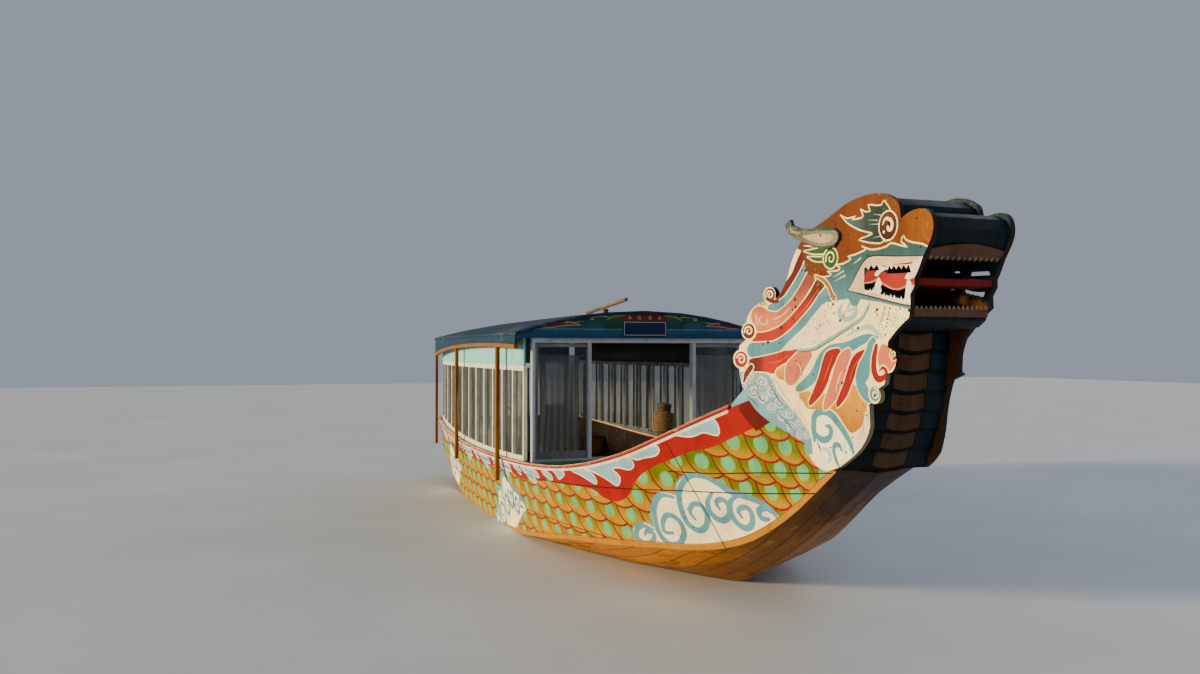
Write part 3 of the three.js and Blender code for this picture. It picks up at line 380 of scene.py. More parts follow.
def cloth(name):
    """Thin pale cloth with soft stripes and a weave."""
    g = Graph(name)
    weave = g.node("TexWave", bands_direction="X")
    weave.inputs["Scale"].default_value = 260
    weft = g.node("TexWave", bands_direction="Z")
    weft.inputs["Scale"].default_value = 260
    for w in (weave, weft):
        g.put(w.inputs["Vector"], g.place)
    stripe = g.span(g.noise(9, 2, (1, 0.2, 0.02)), 0.4, 0.6)
    base = g.mix(stripe, linear(0xF2EADA), linear(0xC4CCCC))
    base = g.mix(g.span(g.noise(4, 4), 0.45, 0.75, 0, 0.4), base, linear(0xB4A890))
    thread = g.math("ADD", weave.outputs["Fac"], weft.outputs["Fac"])
    return g.finish(base, 0.92, g.bump(thread, 0.0004), Alpha=0.8, Sheen_Weight=0.25, Specular_IOR_Level=0.15)


def rope(name):
    """Brown fibre."""
    g = Graph(name)
    fibre = g.noise(150, 4, (1, 1, 0.3), rough=0.7)
    base = g.mix(g.span(fibre, 0.35, 0.65), linear(0x3E2A18), linear(0x94744C))
    base = g.mix(g.span(g.noise(14, 3), 0.5, 0.7, 0, 0.6), base, linear(0x2C1C10))
    return g.finish(base, 0.9, g.bump(fibre, 0.0012), Specular_IOR_Level=0.2)


FIGURES = painted("hand_painted_figures", rough=0.6, chips=0.5, soil=0.4)
SIDE_FIGURES = painted("hand_painted_planks", rough=0.55, chips=0.55, soil=0.4, bare=0x9A8462)
PLATE_FIGURES = painted("hand_painted_plates", rough=0.62, chips=0.12, soil=0.7, bare=0x3A2A20, tone=0.3)
DEEP_TEAL = painted("dark_teal_paint", 0x15252B, rough=0.55, chips=0.05, soil=0.5, boards=(1, 0.118, 0.006),
                    grain=(0.25, 1, 1), bare=0x3E4440, tone=0.3)
BROWN_LIP = painted("brown_lip_paint", 0x6A4A38, rough=0.6, chips=0.3, soil=0.6, bare=0x3A2A20)
TOOTH = painted("tooth_paint", 0x8A7A60, rough=0.6, chips=0.3, soil=0.8)
MOUTH_RED = painted("mouth_red_paint", 0x7E1E18, rough=0.5, chips=0.1, soil=0.6)
HULL_BROWN = bottom_paint("bottom_paint")
CAP = cap_paint("worn_cap_paint")
# The side bands' inner faces near-black, as painted shade inside the cabin
CYAN = painted("pale_cyan_paint", 0x8CD0D4, rough=0.5, chips=0.3, soil=0.4, inside=0x241C18)
BLUE_PAINT = painted("blue_paint", 0x123450, rough=0.5, chips=0.4, soil=0.6, edge=0.004)
ROOF_BLUE = painted("roof_paint", 0x203A54, rough=0.75, bare=0x6E6C68, chips=0.9, soil=1.0,
                    boards=(1, 0.145, 0.006))
FILLET_BLUE = painted("fillet_paint", 0x6C9CB0, rough=0.55, chips=0.6, soil=0.6)
ORANGE = painted("orange_brown_paint", 0x8C5608, rough=0.5, chips=0.5, soil=0.6, edge=0.004,
                 grain=(1, 1, 0.25))
GREEN = painted("green_paint", 0x2C7A54, rough=0.5, chips=0.6, soil=0.5)
BLANK_PLATE = painted("plate_paint", 0x18264A, rough=0.35, chips=0.15, soil=0.4, bare=0x8A8C90)
PALE_LINE = painted("plate_border_paint", 0xC8CCCC, rough=0.4, chips=0.3, soil=0.4)
DECK_WOOD = wood("deck_boards", 0x8E7C64, 0x4A3C2C, boards=(1, 0.14, 0.006))
FLOOR_WOOD = wood("cabin_boards", 0x7C5E42, 0x3E2A1A, boards=(1, 0.12, 0.005))
POST_WOOD = wood("post_timber", 0x5E4630, 0x24180E, grain=(1, 1, 0.1))
KEEL_WOOD = wood("keel_timber", 0x6A4A2C, 0x2C1C10)
POLE_WOOD = wood("pole_timber", 0x8A7456, 0x3A2C1C)
ALLOY = metal("mill_alloy", 0xC4C6CA, rough=0.4, dull=0xA0A2A6, metallic=0.3)
PALE_ALLOY = metal("chalky_alloy", 0xE2DCCC, rough=0.55, dull=0xB4AA98, metallic=0.0)
IRON = metal("painted_iron", 0x3C4044, rough=0.6, dull=0x50504C, rust=0.7, metallic=0.5)
BRONZE = metal("dull_bronze", 0x9A7A3C, rough=0.42, dull=0x5E6A48, metallic=0.9)
GLASS = glass("dusty_glass")
CLOTH = cloth("curtain_cloth")
ROPE = rope("laid_rope")


def soften(thing, width):
    """Rounds the sharp edges a little."""
    for polygon in thing.data.polygons:
        polygon.use_smooth = True
    weld = thing.modifiers.new("weld", "WELD")
    weld.merge_threshold = 0.00005
    bevel = thing.modifiers.new("bevel", "BEVEL")
    bevel.width = width
    bevel.segments = 2
    bevel.limit_method = "ANGLE"
    bevel.angle_limit = math.radians(35)
    bevel.harden_normals = True


def dress(names, material, width=0.003):
    """Gives nodes their material, and rounds their edges."""
    for name in names.split():
        node = NODES[name]
        node.data.materials.clear()
        node.data.materials.append(material)
        if width:
            soften(node, width)


def both(name):
    """The names of a node and its twin on the other side."""
    return " ".join(f"{name}_{side}" for side, _ in SIDES)


# Flat figures for the painters

TINY = 1e-12
CREASE = 0.866  # the cosine of 30 degrees
FACING = 0.35  # how squarely a face has to look the painted way
SNAP = 2e-6  # points of the flat arrangement closer than this are one
POINTED = 0.003  # half width under which a stroke ends in a point


def curve(points, steps=5):
    """A smooth line through the points."""
    p = np.array(points, float)
    ends = np.vstack([2 * p[0] - p[1], p, 2 * p[-1] - p[-2]])
    out = []
    for i in range(len(p) - 1):
        a, b, c, d = ends[i:i + 4]
        for t in np.arange(steps) / steps:
            out.append(0.5 * (2 * b + (c - a) * t + (2 * a - 5 * b + 4 * c - d) * t * t
                              + (3 * b - a - 3 * c + d) * t ** 3))
    out.append(p[-1])
    return np.array(out)


def ribbon(points, widths, steps=5):
    """A painted stroke: widths run along it, its ends round or, at zero width, pointed."""
    line = curve(points, steps)
    run = np.gradient(line, axis=0)
    run /= np.maximum(np.hypot(*run.T), 1e-9)[:, None]
    across = np.stack([-run[:, 1], run[:, 0]], 1)
    widths = np.atleast_1d(widths).astype(float)
    half = 0.5 * np.interp(np.linspace(0, 1, len(line)), np.linspace(0, 1, len(widths)), widths)
    left, right = line + across * half[:, None], line - across * half[:, None]

    def cap(i, way):
        if half[i] < POINTED:
            return np.empty((0, 2))
        angles = np.radians([45, 90, 135])
        spread = np.cos(angles)[:, None] * across[i] * way + np.sin(angles)[:, None] * run[i] * way
        return line[i] + half[i] * spread

    return np.vstack([left, cap(-1, 1), right[::-1], cap(0, -1)])


def disc(x, z, r, squash=1.0, sides=18, turn=0.0):
    """A round outline, squashed upright and then turned."""
    a = np.linspace(0, 2 * math.pi, sides, endpoint=False)
    p = np.stack([r * np.cos(a), r * squash * np.sin(a)], 1)
    c, s = math.cos(turn), math.sin(turn)
    return p @ np.array([[c, s], [-s, c]]) + (x, z)


def coil(x, z, r0, r1, start, turns, squash=1.0):
    """Points of a spiral from r0 in to r1; start in degrees, turns negative for the other hand."""
    n = max(5, int(abs(turns) * 9))
    a = math.radians(start) + np.linspace(0, 2 * math.pi * turns, n)
    r = np.linspace(r0, r1, n)
    return np.stack([x + r * np.cos(a), z + squash * r * np.sin(a)], 1)


def grown(points, by):
    """An outline moved outwards by a little."""
    p = np.array(points, float)
    area = 0.5 * np.sum(p[:, 0] * np.roll(p[:, 1], -1) - np.roll(p[:, 0], -1) * p[:, 1])
    run = np.roll(p, -1, 0) - np.roll(p, 1, 0)
    run /= np.maximum(np.hypot(*run.T), 1e-9)[:, None]
    out = np.stack([run[:, 1], -run[:, 0]], 1) * (1 if area > 0 else -1)
    return p + by * out


def rounded(points, steps=4):
    """A smooth closed outline through the points."""
    p = list(points)
    return curve([p[-1]] + p + [p[0], p[1]], steps)[steps:-steps - 1]


class Canvas:
    """Painted figures on the faces of a CAD node that look one way. They are cut into a copy of its mesh,
    which then stands for the node. look is the way the faces look, axes are the two that the figures are
    drawn in, ground is the colour under the figures and rest that of the other faces."""

    def __init__(self, node, look, axes, ground, rest):
        self.node, self.look, self.axes, self.rest = node, np.array(look, float), list(axes), rest
        far = 99
        self.figures = [(np.array([(-far, -far), (far, -far), (far, far), (-far, far)], float), ground)]

    def area(self, points, color):
        self.figures.append((np.array(points, float), color))

    def stroke(self, points, widths, color, edging=None, edge=0.012, steps=5):
        """A line of paint, over a wider one in the edging's colour where that's given."""
        if edging is not None:
            self.area(ribbon(points, np.atleast_1d(widths) + 2 * edge, steps), edging)
        self.area(ribbon(points, widths, steps), color)

    def strokes(self, lines, widths, color):
        for line in lines:
            self.stroke(line, widths, color)

    def dots(self, places, r, color):
        for x, z in places:
            self.area(disc(x, z, r, sides=7), color)

    def scroll(self, x, z, r, start, turns, width, color, squash=1.0):
        self.stroke(coil(x, z, r, 0.22 * r, start, turns, squash), [width, width, 0.7 * width],
                    color, steps=2)

    def finish(self, name, material, slot):
        self.read_node()
        self.smooth_normals()
        self.arrange()
        self.settle()
        self.stitch()
        piece = self.build(name, material)
        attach(piece, "boat")
        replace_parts(piece, self.node)

    def read_node(self):
        """The node's welded corners and its triangles, and which of them look the way that's painted."""
        mesh = NODES[self.node].data
        mesh.calc_loop_triangles()
        co = np.empty(3 * len(mesh.vertices))
        mesh.vertices.foreach_get("co", co)
        tri = np.empty(3 * len(mesh.loop_triangles), np.int32)
        mesh.loop_triangles.foreach_get("vertices", tri)
        co = co.reshape(-1, 3)
        _, first, weld = np.unique(np.round(co, 4), axis=0, return_index=True, return_inverse=True)
        co, tri = co[first], weld.reshape(-1)[tri.reshape(-1, 3)]
        tri = tri[(tri[:, 0] != tri[:, 1]) & (tri[:, 1] != tri[:, 2]) & (tri[:, 0] != tri[:, 2])]
        cross = np.cross(co[tri[:, 1]] - co[tri[:, 0]], co[tri[:, 2]] - co[tri[:, 0]])
        self.co, self.tri, self.flat = co, tri, co[:, self.axes]
        self.size = np.linalg.norm(cross, axis=1)
        self.normal = cross / np.maximum(self.size, TINY)[:, None]
        self.facing = (self.normal @ self.look > FACING) & (self.size > 1e-9)

    def smooth_normals(self):
        """A normal for each corner of each triangle, shared within a crease of 30 degrees."""
        users = [[] for _ in self.co]
        for t, corners in enumerate(self.tri):
            for v in corners:
                users[v].append(t)
        self.smooth = np.zeros((len(self.tri), 3, 3))
        for t, corners in enumerate(self.tri):
            for k, v in enumerate(corners):
                near = [n for n in users[v] if self.normal[n] @ self.normal[t] > CREASE]
                total = (self.normal[near] * self.size[near][:, None]).sum(0) if near else self.normal[t]
                self.smooth[t, k] = total / max(np.linalg.norm(total), TINY)

    def arrange(self):
        """The facing triangles and the figures' outlines in one flat triangulation."""
        tri, flat = self.tri[self.facing], self.flat
        self.used = np.unique(tri)
        index = {v: i for i, v in enumerate(self.used)}
        points = [Vector(flat[v]) for v in self.used]
        lines = set()
        for corners in tri:
            for a, b in around(corners):
                lines.add((min(index[a], index[b]), max(index[a], index[b])))
        lines = list(lines)
        low, high = flat[self.used].min(0), flat[self.used].max(0)
        self.shown = []
        for outline, color in self.figures:
            if (outline.max(0) < low).any() or (outline.min(0) > high).any():
                continue
            self.shown.append((outline, color))
            if len(self.shown) > 1:
                start = len(points)
                points += [Vector(p) for p in outline]
                lines += [(start + i, start + (i + 1) % len(outline)) for i in range(len(outline))]
        flat_co, _, faces, self.origin, _, _ = delaunay_2d_cdt(points, lines, [], 0, SNAP)
        self.flat_co = np.array([(p.x, p.y) for p in flat_co])
        self.faces = np.array([f for f in faces if len(f) == 3])

    def settle(self):
        """Each face belongs to the CAD triangle under it, and takes the last figure over it."""
        faces, flat_co = self.faces, self.flat_co
        middle = flat_co[faces].mean(1)
        owner = np.full(len(faces), -1)
        weights = np.zeros((len(faces), 3, 3))
        for t in np.flatnonzero(self.facing):
            a, b, c = self.flat[self.tri[t]]
            box = ((middle >= np.minimum(np.minimum(a, b), c) - 1e-6)
                   & (middle <= np.maximum(np.maximum(a, b), c) + 1e-6)).all(1)
            here = np.flatnonzero(box & (owner < 0))
            if not len(here):
                continue
            inverse = np.linalg.inv(np.stack([b - a, c - a], 1))
            w = (middle[here] - a) @ inverse.T
            inside = (w[:, 0] > -1e-6) & (w[:, 1] > -1e-6) & (w.sum(1) < 1 + 1e-6)
            here = here[inside]
            owner[here] = t
            w = (flat_co[faces[here]] - a) @ inverse.T
            weights[here] = np.concatenate([1 - w.sum(2, keepdims=True), w], 2)
        kept = owner >= 0
        faces, owner, weights, middle = faces[kept], owner[kept], weights[kept], middle[kept]
        place = np.einsum("fkw,fwx->fkx", weights, self.co[self.tri[owner]])
        shine = np.einsum("fkw,fwx->fkx", weights, self.smooth[owner])
        color = np.zeros((len(faces), 3, 4))
        for outline, tint in self.shown:
            here = np.flatnonzero(((middle >= outline.min(0)) & (middle <= outline.max(0))).all(1))
            if not len(here):
                continue
            here = here[winding(middle[here], outline) != 0]
            if callable(tint):
                color[here] = tint(flat_co[faces[here]].reshape(-1, 2)).reshape(-1, 3, 4)
            else:
                color[here] = linear(tint)

        # The flat triangulation runs anticlockwise, so a side seen with its axes mirrored is turned over
        first_axis, second_axis = np.eye(3)[self.axes]
        if np.cross(first_axis, second_axis) @ self.look < 0:
            faces, place, shine, color = (part[:, ::-1] for part in (faces, place, shine, color))
        self.faces, self.place, self.shine, self.color = faces, place, shine, color

    def stitch(self):
        """The corners in space, and the node's other faces, joined to the painted ones along their rim."""
        co, tri, facing, faces = self.co, self.tri, self.facing, self.faces
        where = np.zeros((len(self.flat_co), 3))
        where[faces.reshape(-1)] = self.place.reshape(-1, 3)
        new_of = {}
        for i, sources in enumerate(self.origin):
            for s in sources:
                if s < len(self.used):
                    new_of[self.used[s]] = i
                    where[i] = co[self.used[s]]
        where = list(where)
        for v in np.unique(tri[~facing]) if (~facing).any() else []:
            if v not in new_of:
                new_of[v] = len(where)
                where.append(co[v])
        count = Counter((min(a, b), max(a, b)) for f in faces for a, b in around(f))
        rim = np.unique([v for key, n in count.items() if n == 1 for v in key])
        edges = {(min(a, b), max(a, b)) for corners in tri[facing] for a, b in around(corners)}
        self.where = where
        self.polygons = [tuple(f) for f in faces]
        self.corner_color = list(self.color.reshape(-1, 4))
        self.corner_normal = list(self.shine.reshape(-1, 3))
        for t in np.flatnonzero(~facing):
            ring = {}
            for k, (a, b) in enumerate(around(tri[t])):
                start, end = self.smooth[t, k], self.smooth[t, (k + 1) % 3]
                ring.setdefault(new_of[a], start)
                if (min(a, b), max(a, b)) in edges:
                    for i, s in self.points_between(rim, self.flat[a], self.flat[b]):
                        ring.setdefault(i, (1 - s) * start + s * end)
            if len(ring) < 3:
                continue
            tint = self.rest(co[tri[t]].mean(0), self.normal[t]) if callable(self.rest) else self.rest
            self.polygons.append(tuple(ring))
            self.corner_color += [linear(tint)] * len(ring)
            self.corner_normal += ring.values()

    def points_between(self, rim, a, b):
        """The rim's points on the line from a to b, in order, each with its share of the way."""
        run, off_start = b - a, self.flat_co[rim] - a
        length = max(np.hypot(*run), TINY)
        share = off_start @ run / length ** 2
        off = np.abs(off_start @ np.array([-run[1], run[0]])) / length
        on = np.flatnonzero((share > 1e-5) & (share < 1 - 1e-5) & (off < 5e-6))
        return [(rim[i], share[i]) for i in on[np.argsort(share[on])]]

    def build(self, name, material):
        keep = np.unique([v for p in self.polygons for v in p])
        renumber = {v: i for i, v in enumerate(keep)}
        made = bpy.data.meshes.new(name)
        made.from_pydata([tuple(self.where[v]) for v in keep], [],
                         [tuple(renumber[v] for v in p) for p in self.polygons])
        layer = made.color_attributes.new("paint", "BYTE_COLOR", "CORNER")
        layer.data.foreach_set("color", np.array(self.corner_color, float).reshape(-1))
        made.polygons.foreach_set("use_smooth", [True] * len(self.polygons))
        made.normals_split_custom_set([tuple(n) for n in self.corner_normal])
        return show(made, name, material)


def around(corners):
    """The three sides of a triangle, each as its two corners."""
    a, b, c = corners
    return (a, b), (b, c), (c, a)


def winding(points, outline):
    """How often the outline goes round each point."""
    a, b = outline, np.roll(outline, -1, 0)
    up = (a[None, :, 1] <= points[:, None, 1]) & (b[None, :, 1] > points[:, None, 1])
    down = (a[None, :, 1] > points[:, None, 1]) & (b[None, :, 1] <= points[:, None, 1])
    side = ((b[:, 0] - a[:, 0])[None] * (points[:, None, 1] - a[None, :, 1])
            - (points[:, None, 0] - a[None, :, 0]) * (b[:, 1] - a[:, 1])[None])
    return (up & (side > 0)).sum(1) - (down & (side < 0)).sum(1)


# Small builders


def show(made, name, material):
    """Puts a mesh into the scene as an object."""
    made.materials.append(material)
    piece = bpy.data.objects.new(name, made)
    bpy.context.scene.collection.objects.link(piece)
    return piece


def piece_of(name, verts, faces, material, smooth=False, width=0.0):
    """A new piece on the boat's own body."""
    made = bpy.data.meshes.new(name)
    made.from_pydata([tuple(v) for v in verts], [], [tuple(f) for f in faces])
    made.polygons.foreach_set("use_smooth", [smooth] * len(faces))
    piece = show(made, name, material)
    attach(piece, "boat")
    if width:
        soften(piece, width)
    return piece


def tube_mesh(path, radius, sides=8, offset=0):
    """Corners and faces of a closed round tube along a path. offset is the number of its first corner."""
    path = np.array(path, float)
    run = np.gradient(path, axis=0)
    run /= np.linalg.norm(run, axis=1)[:, None]
    side = np.cross(run[0], (0, 0, 1) if abs(run[0][2]) < 0.9 else (1, 0, 0))
    verts, faces = [], []
    for p, r in zip(path, run):
        side = side - r * (side @ r)
        side /= np.linalg.norm(side)
        other = np.cross(r, side)
        for k in range(sides):
            a = 2 * math.pi * k / sides
            verts.append(p + radius * (math.cos(a) * side + math.sin(a) * other))
    for i in range(len(path) - 1):
        for k in range(sides):
            a, b = i * sides + k, i * sides + (k + 1) % sides
            faces.append((a + offset, b + offset, b + sides + offset, a + sides + offset))
    faces.append(tuple(offset + k for k in reversed(range(sides))))
    faces.append(tuple(offset + len(verts) - sides + k for k in range(sides)))
    return verts, faces


def corners(name):
    return np.array([v.co for v in NODES[name].data.vertices])


# The dragon's head: the same figures on both boards, but for the curls at the starboard throat

# Puffs of the skirt's clouds: centre, radius, start in degrees and turns of the scroll on each
PUFFS = [
    (4.47, 2.08, .05, 200, 1.1), (4.565, 2.155, .055, 20, -1.2), (4.6, 2.035, .06, 160, 1.2),
    (4.69, 2.12, .06, 300, -1.2), (4.7, 1.985, .055, 40, 1.1), (4.795, 2.05, .06, 120, -1.2),
    (4.79, 1.905, .05, 220, 1.1), (4.88, 1.955, .055, 80, -1.2), (4.9, 1.84, .05, 0, 1.1),
    (4.985, 1.865, .05, 150, -1.1), (5.0, 1.76, .05, 250, 1.1), (5.085, 1.785, .045, 60, -1.1),
    (5.1, 1.7, .045, 310, 1.1), (5.17, 1.7, .04, 120, -1.1),
]
# Curls at the nape: centre, radius, start in degrees, turns and colour
CURLS = [
    (4.775, 2.872, 0.058, 200, -1.25, DARK_RED), (4.545, 2.565, 0.066, 190, -1.25, DARK_RED),
    (4.462, 2.318, 0.07, 160, -1.3, RED),
]
DUSKY = between(DUSKY_FOOT, DUSKY_HEAD, 2.62, 2.95, 1)
EMBER = between(EMBER_FOOT, EMBER_HEAD, 2.72, 2.86, 1)
# Locks of the mane: colour and outline, the uppermost first
MANE = [
    (DARK_RED, [(5.17, 3.26), (5.077, 3.128), (5.028, 3.039), (4.954, 2.961), (4.895, 2.905), (4.84, 2.87),
                (4.85, 2.83), (4.935, 2.848), (4.996, 2.912), (5.066, 3.0), (5.128, 3.08), (5.16, 3.16)]),
    (BLUE, [(5.172, 3.13), (5.142, 3.075), (5.08, 2.996), (4.999, 2.9), (4.932, 2.832), (4.84, 2.794),
            (4.77, 2.775), (4.783, 2.727), (4.85, 2.722), (4.95, 2.781), (5.03, 2.857), (5.101, 2.936),
            (5.178, 3.05)]),
    (DUSKY, [(5.225, 3.045), (5.19, 3.018), (5.119, 2.921), (5.037, 2.832), (4.954, 2.763), (4.863, 2.712),
             (4.77, 2.717), (4.675, 2.762), (4.606, 2.745), (4.586, 2.679), (4.62, 2.62), (4.661, 2.56),
             (4.729, 2.556), (4.836, 2.582), (4.942, 2.648), (5.049, 2.733), (5.133, 2.827), (5.201, 2.91),
             (5.258, 2.974)]),
    (EMBER, [(5.3, 2.962), (5.232, 2.874), (5.15, 2.792), (5.053, 2.706), (4.957, 2.631), (4.865, 2.579),
             (4.729, 2.54), (4.6, 2.53), (4.59, 2.495), (4.661, 2.472), (4.77, 2.474), (4.889, 2.512),
             (5.019, 2.592), (5.131, 2.677), (5.213, 2.756), (5.294, 2.833), (5.37, 2.905), (5.352, 2.945)]),
    (BLUE, [(5.405, 2.9), (5.385, 2.889), (5.322, 2.833), (5.242, 2.746), (5.146, 2.665), (5.049, 2.586),
            (4.929, 2.508), (4.81, 2.458), (4.661, 2.451), (4.56, 2.44), (4.545, 2.37), (4.634, 2.345),
            (4.756, 2.362), (4.863, 2.385), (4.967, 2.41), (5.035, 2.463), (5.105, 2.529), (5.174, 2.603),
            (5.255, 2.663), (5.322, 2.727), (5.357, 2.78), (5.42, 2.815)]),
    (between(TORCH_DARK, TORCH_BRIGHT, 4.66, 4.74, 0),
     [(4.55, 2.3), (4.702, 2.33), (4.85, 2.358), (4.967, 2.385), (5.091, 2.382), (4.993, 2.332),
      (4.915, 2.282), (4.823, 2.215), (4.716, 2.228), (4.56, 2.235)]),
    (between(GOLD, GOLD_PALE, 2.18, 2.26, 1),
     [(4.849, 2.21), (4.936, 2.262), (5.039, 2.287), (4.99, 2.203), (4.908, 2.16)]),
    (PINK, [(5.215, 2.374), (5.105, 2.377), (5.035, 2.332), (4.972, 2.28), (4.955, 2.212), (4.961, 2.135),
            (5.021, 2.12), (5.091, 2.19), (5.16, 2.274), (5.216, 2.344)]),
    (BLUE, [(6.04, 2.5), (5.94, 2.53), (5.782, 2.492), (5.625, 2.447), (5.492, 2.436), (5.401, 2.412),
            (5.318, 2.346), (5.262, 2.255), (5.185, 2.17), (5.065, 2.082), (5.11, 2.07), (5.215, 2.12),
            (5.3, 2.192), (5.347, 2.276), (5.392, 2.343), (5.47, 2.391), (5.64, 2.404), (5.697, 2.406),
            (5.81, 2.452), (5.947, 2.498)]),
    (RED, [(5.485, 2.396), (5.401, 2.372), (5.362, 2.3), (5.336, 2.22), (5.296, 2.128), (5.25, 2.043),
           (5.205, 1.955), (5.316, 2.038), (5.388, 2.136), (5.435, 2.236), (5.492, 2.317), (5.555, 2.392)]),
    (PINK, [(5.654, 2.401), (5.575, 2.362), (5.528, 2.302), (5.483, 2.203), (5.44, 2.11), (5.4, 2.03),
            (5.37, 1.925), (5.46, 1.985), (5.537, 2.058), (5.593, 2.15), (5.614, 2.247), (5.654, 2.322),
            (5.674, 2.371)]),
    (RED, [(5.854, 2.39), (5.758, 2.365), (5.701, 2.313), (5.658, 2.235), (5.613, 2.138), (5.566, 2.054),
           (5.515, 1.955), (5.625, 2.046), (5.686, 2.152), (5.729, 2.232), (5.785, 2.31), (5.841, 2.36)]),
    (BLUE, [(5.945, 2.485), (5.895, 2.45), (5.875, 2.399), (5.835, 2.343), (5.785, 2.276), (5.755, 2.19),
            (5.775, 2.105), (5.825, 2.045), (5.9, 2.01), (5.875, 2.09), (5.838, 2.149), (5.875, 2.2),
            (5.89, 2.259), (5.897, 2.325), (5.913, 2.399), (5.95, 2.446)]),
]
FLAME_EDGE = [
    (6.56, 3.11), (6.48, 3.15), (6.38, 3.17), (6.3, 3.2), (6.28, 3.23), (6.25, 3.19), (6.32, 3.145),
    (6.22, 3.17), (6.14, 3.19), (6.09, 3.17), (5.99, 3.16), (5.9, 3.165), (5.81, 3.2), (5.86, 3.175),
    (5.83, 3.16), (5.74, 3.14), (5.65, 3.13), (5.69, 3.11), (5.6, 3.08), (5.51, 3.075), (5.56, 3.05),
    (5.53, 3.03), (5.4, 3.03), (5.46, 3.005), (5.38, 2.99), (5.27, 3.00),
]
BROW = [
    (5.57, 3.465), (5.65, 3.43), (5.75, 3.435), (5.7, 3.415), (5.8, 3.415), (5.83, 3.43), (5.8, 3.485),
    (5.845, 3.46), (5.91, 3.455), (5.885, 3.505), (5.95, 3.495), (6.03, 3.485), (6.06, 3.515), (6.09, 3.49),
    (6.14, 3.43), (6.17, 3.36), (6.12, 3.22), (6.06, 3.215), (6.02, 3.2), (5.9, 3.215), (5.78, 3.25),
    (5.86, 3.265), (5.93, 3.28), (5.9, 3.292), (5.8, 3.32), (5.71, 3.36), (5.64, 3.4),
]
GUM_LINE = [
    (5.96, 3.108), (6.2, 3.085), (6.54, 3.06), (6.49, 3.02), (6.43, 2.94), (6.41, 2.9), (6.38, 2.84),
    (6.4, 2.71), (6.21, 2.74), (5.87, 2.82), (5.65, 2.865), (5.7, 2.92), (5.76, 2.99), (5.82, 3.06),
    (5.88, 3.1),
]
TONGUE_LINE = [
    (5.87, 3.005), (5.99, 3.005), (6.09, 2.975), (6.21, 2.972), (6.34, 2.965), (6.46, 2.93), (6.46, 2.86),
    (6.36, 2.865), (6.3, 2.85), (6.21, 2.832), (6.13, 2.852), (6.04, 2.892), (5.99, 2.925), (5.92, 2.908),
    (5.835, 2.905), (5.84, 2.95),
]
FANGS = [
    [(5.985, 2.935), (5.955, 2.87), (5.975, 2.825), (6.015, 2.82), (6.035, 2.88), (6.01, 2.94)],
    [(6.315, 2.9), (6.295, 2.82), (6.3, 2.75), (6.38, 2.74), (6.38, 2.83), (6.345, 2.9)],
    [(6.1, 3.005), (6.03, 2.985), (5.985, 2.955), (5.955, 2.968), (5.98, 2.995), (6.01, 3.03)],
    [(6.36, 3.02), (6.33, 2.965), (6.29, 2.925), (6.33, 2.91), (6.42, 2.935), (6.52, 3.06)],
]
CHEEK_LINE = [
    (5.36, 2.775), (5.47, 2.8), (5.57, 2.8), (5.66, 2.815), (5.8, 2.79), (5.95, 2.765), (6.2, 2.72),
    (6.4, 2.68), (6.36, 2.58), (6.17, 2.47), (6.08, 2.44), (5.97, 2.51), (5.89, 2.525), (5.7, 2.505),
    (5.52, 2.47), (5.27, 2.415), (5.08, 2.405), (4.88, 2.39), (4.97, 2.465), (5.16, 2.6), (5.28, 2.71),
]


def nails(count, low, high, seed):
    """Places strewn over a rectangle."""
    source = random.Random(seed)
    return [(source.uniform(low[0], high[0]), source.uniform(low[1], high[1])) for _ in range(count)]


def paint_skirt(c):
    """Blue clouds at the after edge, cream and pink stripes before them, and a pale worn patch ahead."""
    c.area([(4.36, 2.2), (4.56, 2.215), (4.68, 2.235), (4.79, 2.19), (4.87, 2.08), (4.93, 1.98), (5.06, 1.88),
            (5.18, 1.77), (5.245, 1.68), (5.24, 1.55), (5.0, 1.5), (4.4, 1.7)],
           between(SKIRT_BLUE, SKIRT_PALE, 1.6, 2.2, 1))
    for x, z, r, start, turns in PUFFS:
        c.area(disc(x, z, r, 0.9), between(PUFF, PUFF_PALE, 1.7, 2.2, 1))
        c.scroll(x, z, 0.8 * r, start, turns, 0.2 * r, PUFF_LINE, 0.9)
    c.strokes([[(4.64, 2.1), (4.66, 1.99), (4.75, 1.94)], [(4.76, 2.14), (4.85, 2.0), (4.95, 1.91)],
               [(4.84, 1.88), (4.95, 1.8), (5.05, 1.7)], [(4.52, 2.0), (4.6, 1.95), (4.66, 1.9)]],
              [.006, .02, .005], PUFF_SHADE)
    c.stroke([(4.6, 2.245), (4.74, 2.225), (4.84, 2.15), (4.9, 2.06), (5.01, 1.96), (5.13, 1.86),
              (5.215, 1.77), (5.25, 1.67)], [.02, .05, .07, .08, .085, .08, .07, .04], CREAM)
    c.strokes([[(4.74, 2.215), (4.86, 2.11), (4.93, 2.02), (5.02, 1.945)],
               [(4.97, 1.975), (5.05, 1.885), (5.14, 1.79), (5.21, 1.7)],
               [(5.06, 1.93), (5.13, 1.85), (5.19, 1.775)]], [.004, .015, .015, .004], ROSE_LINE)
    c.stroke([(4.72, 2.245), (4.8, 2.205), (4.87, 2.13)], [.01, .028, .01], ROSE)
    c.area([(5.79, 2.03), (5.93, 2.0), (6.0, 1.9), (5.95, 1.75), (5.84, 1.6), (5.74, 1.6), (5.7, 1.69),
            (5.775, 1.8), (5.79, 1.9)], between(WORN, WORN_PALE, 1.65, 1.95, 1))
    c.strokes([[(5.84, 1.98), (5.88, 1.9), (5.86, 1.82)], [(5.83, 1.88), (5.82, 1.78), (5.77, 1.7)],
               [(5.9, 1.95), (5.92, 1.86), (5.89, 1.79)]], [.004, .012, .004], WORN_LINE)


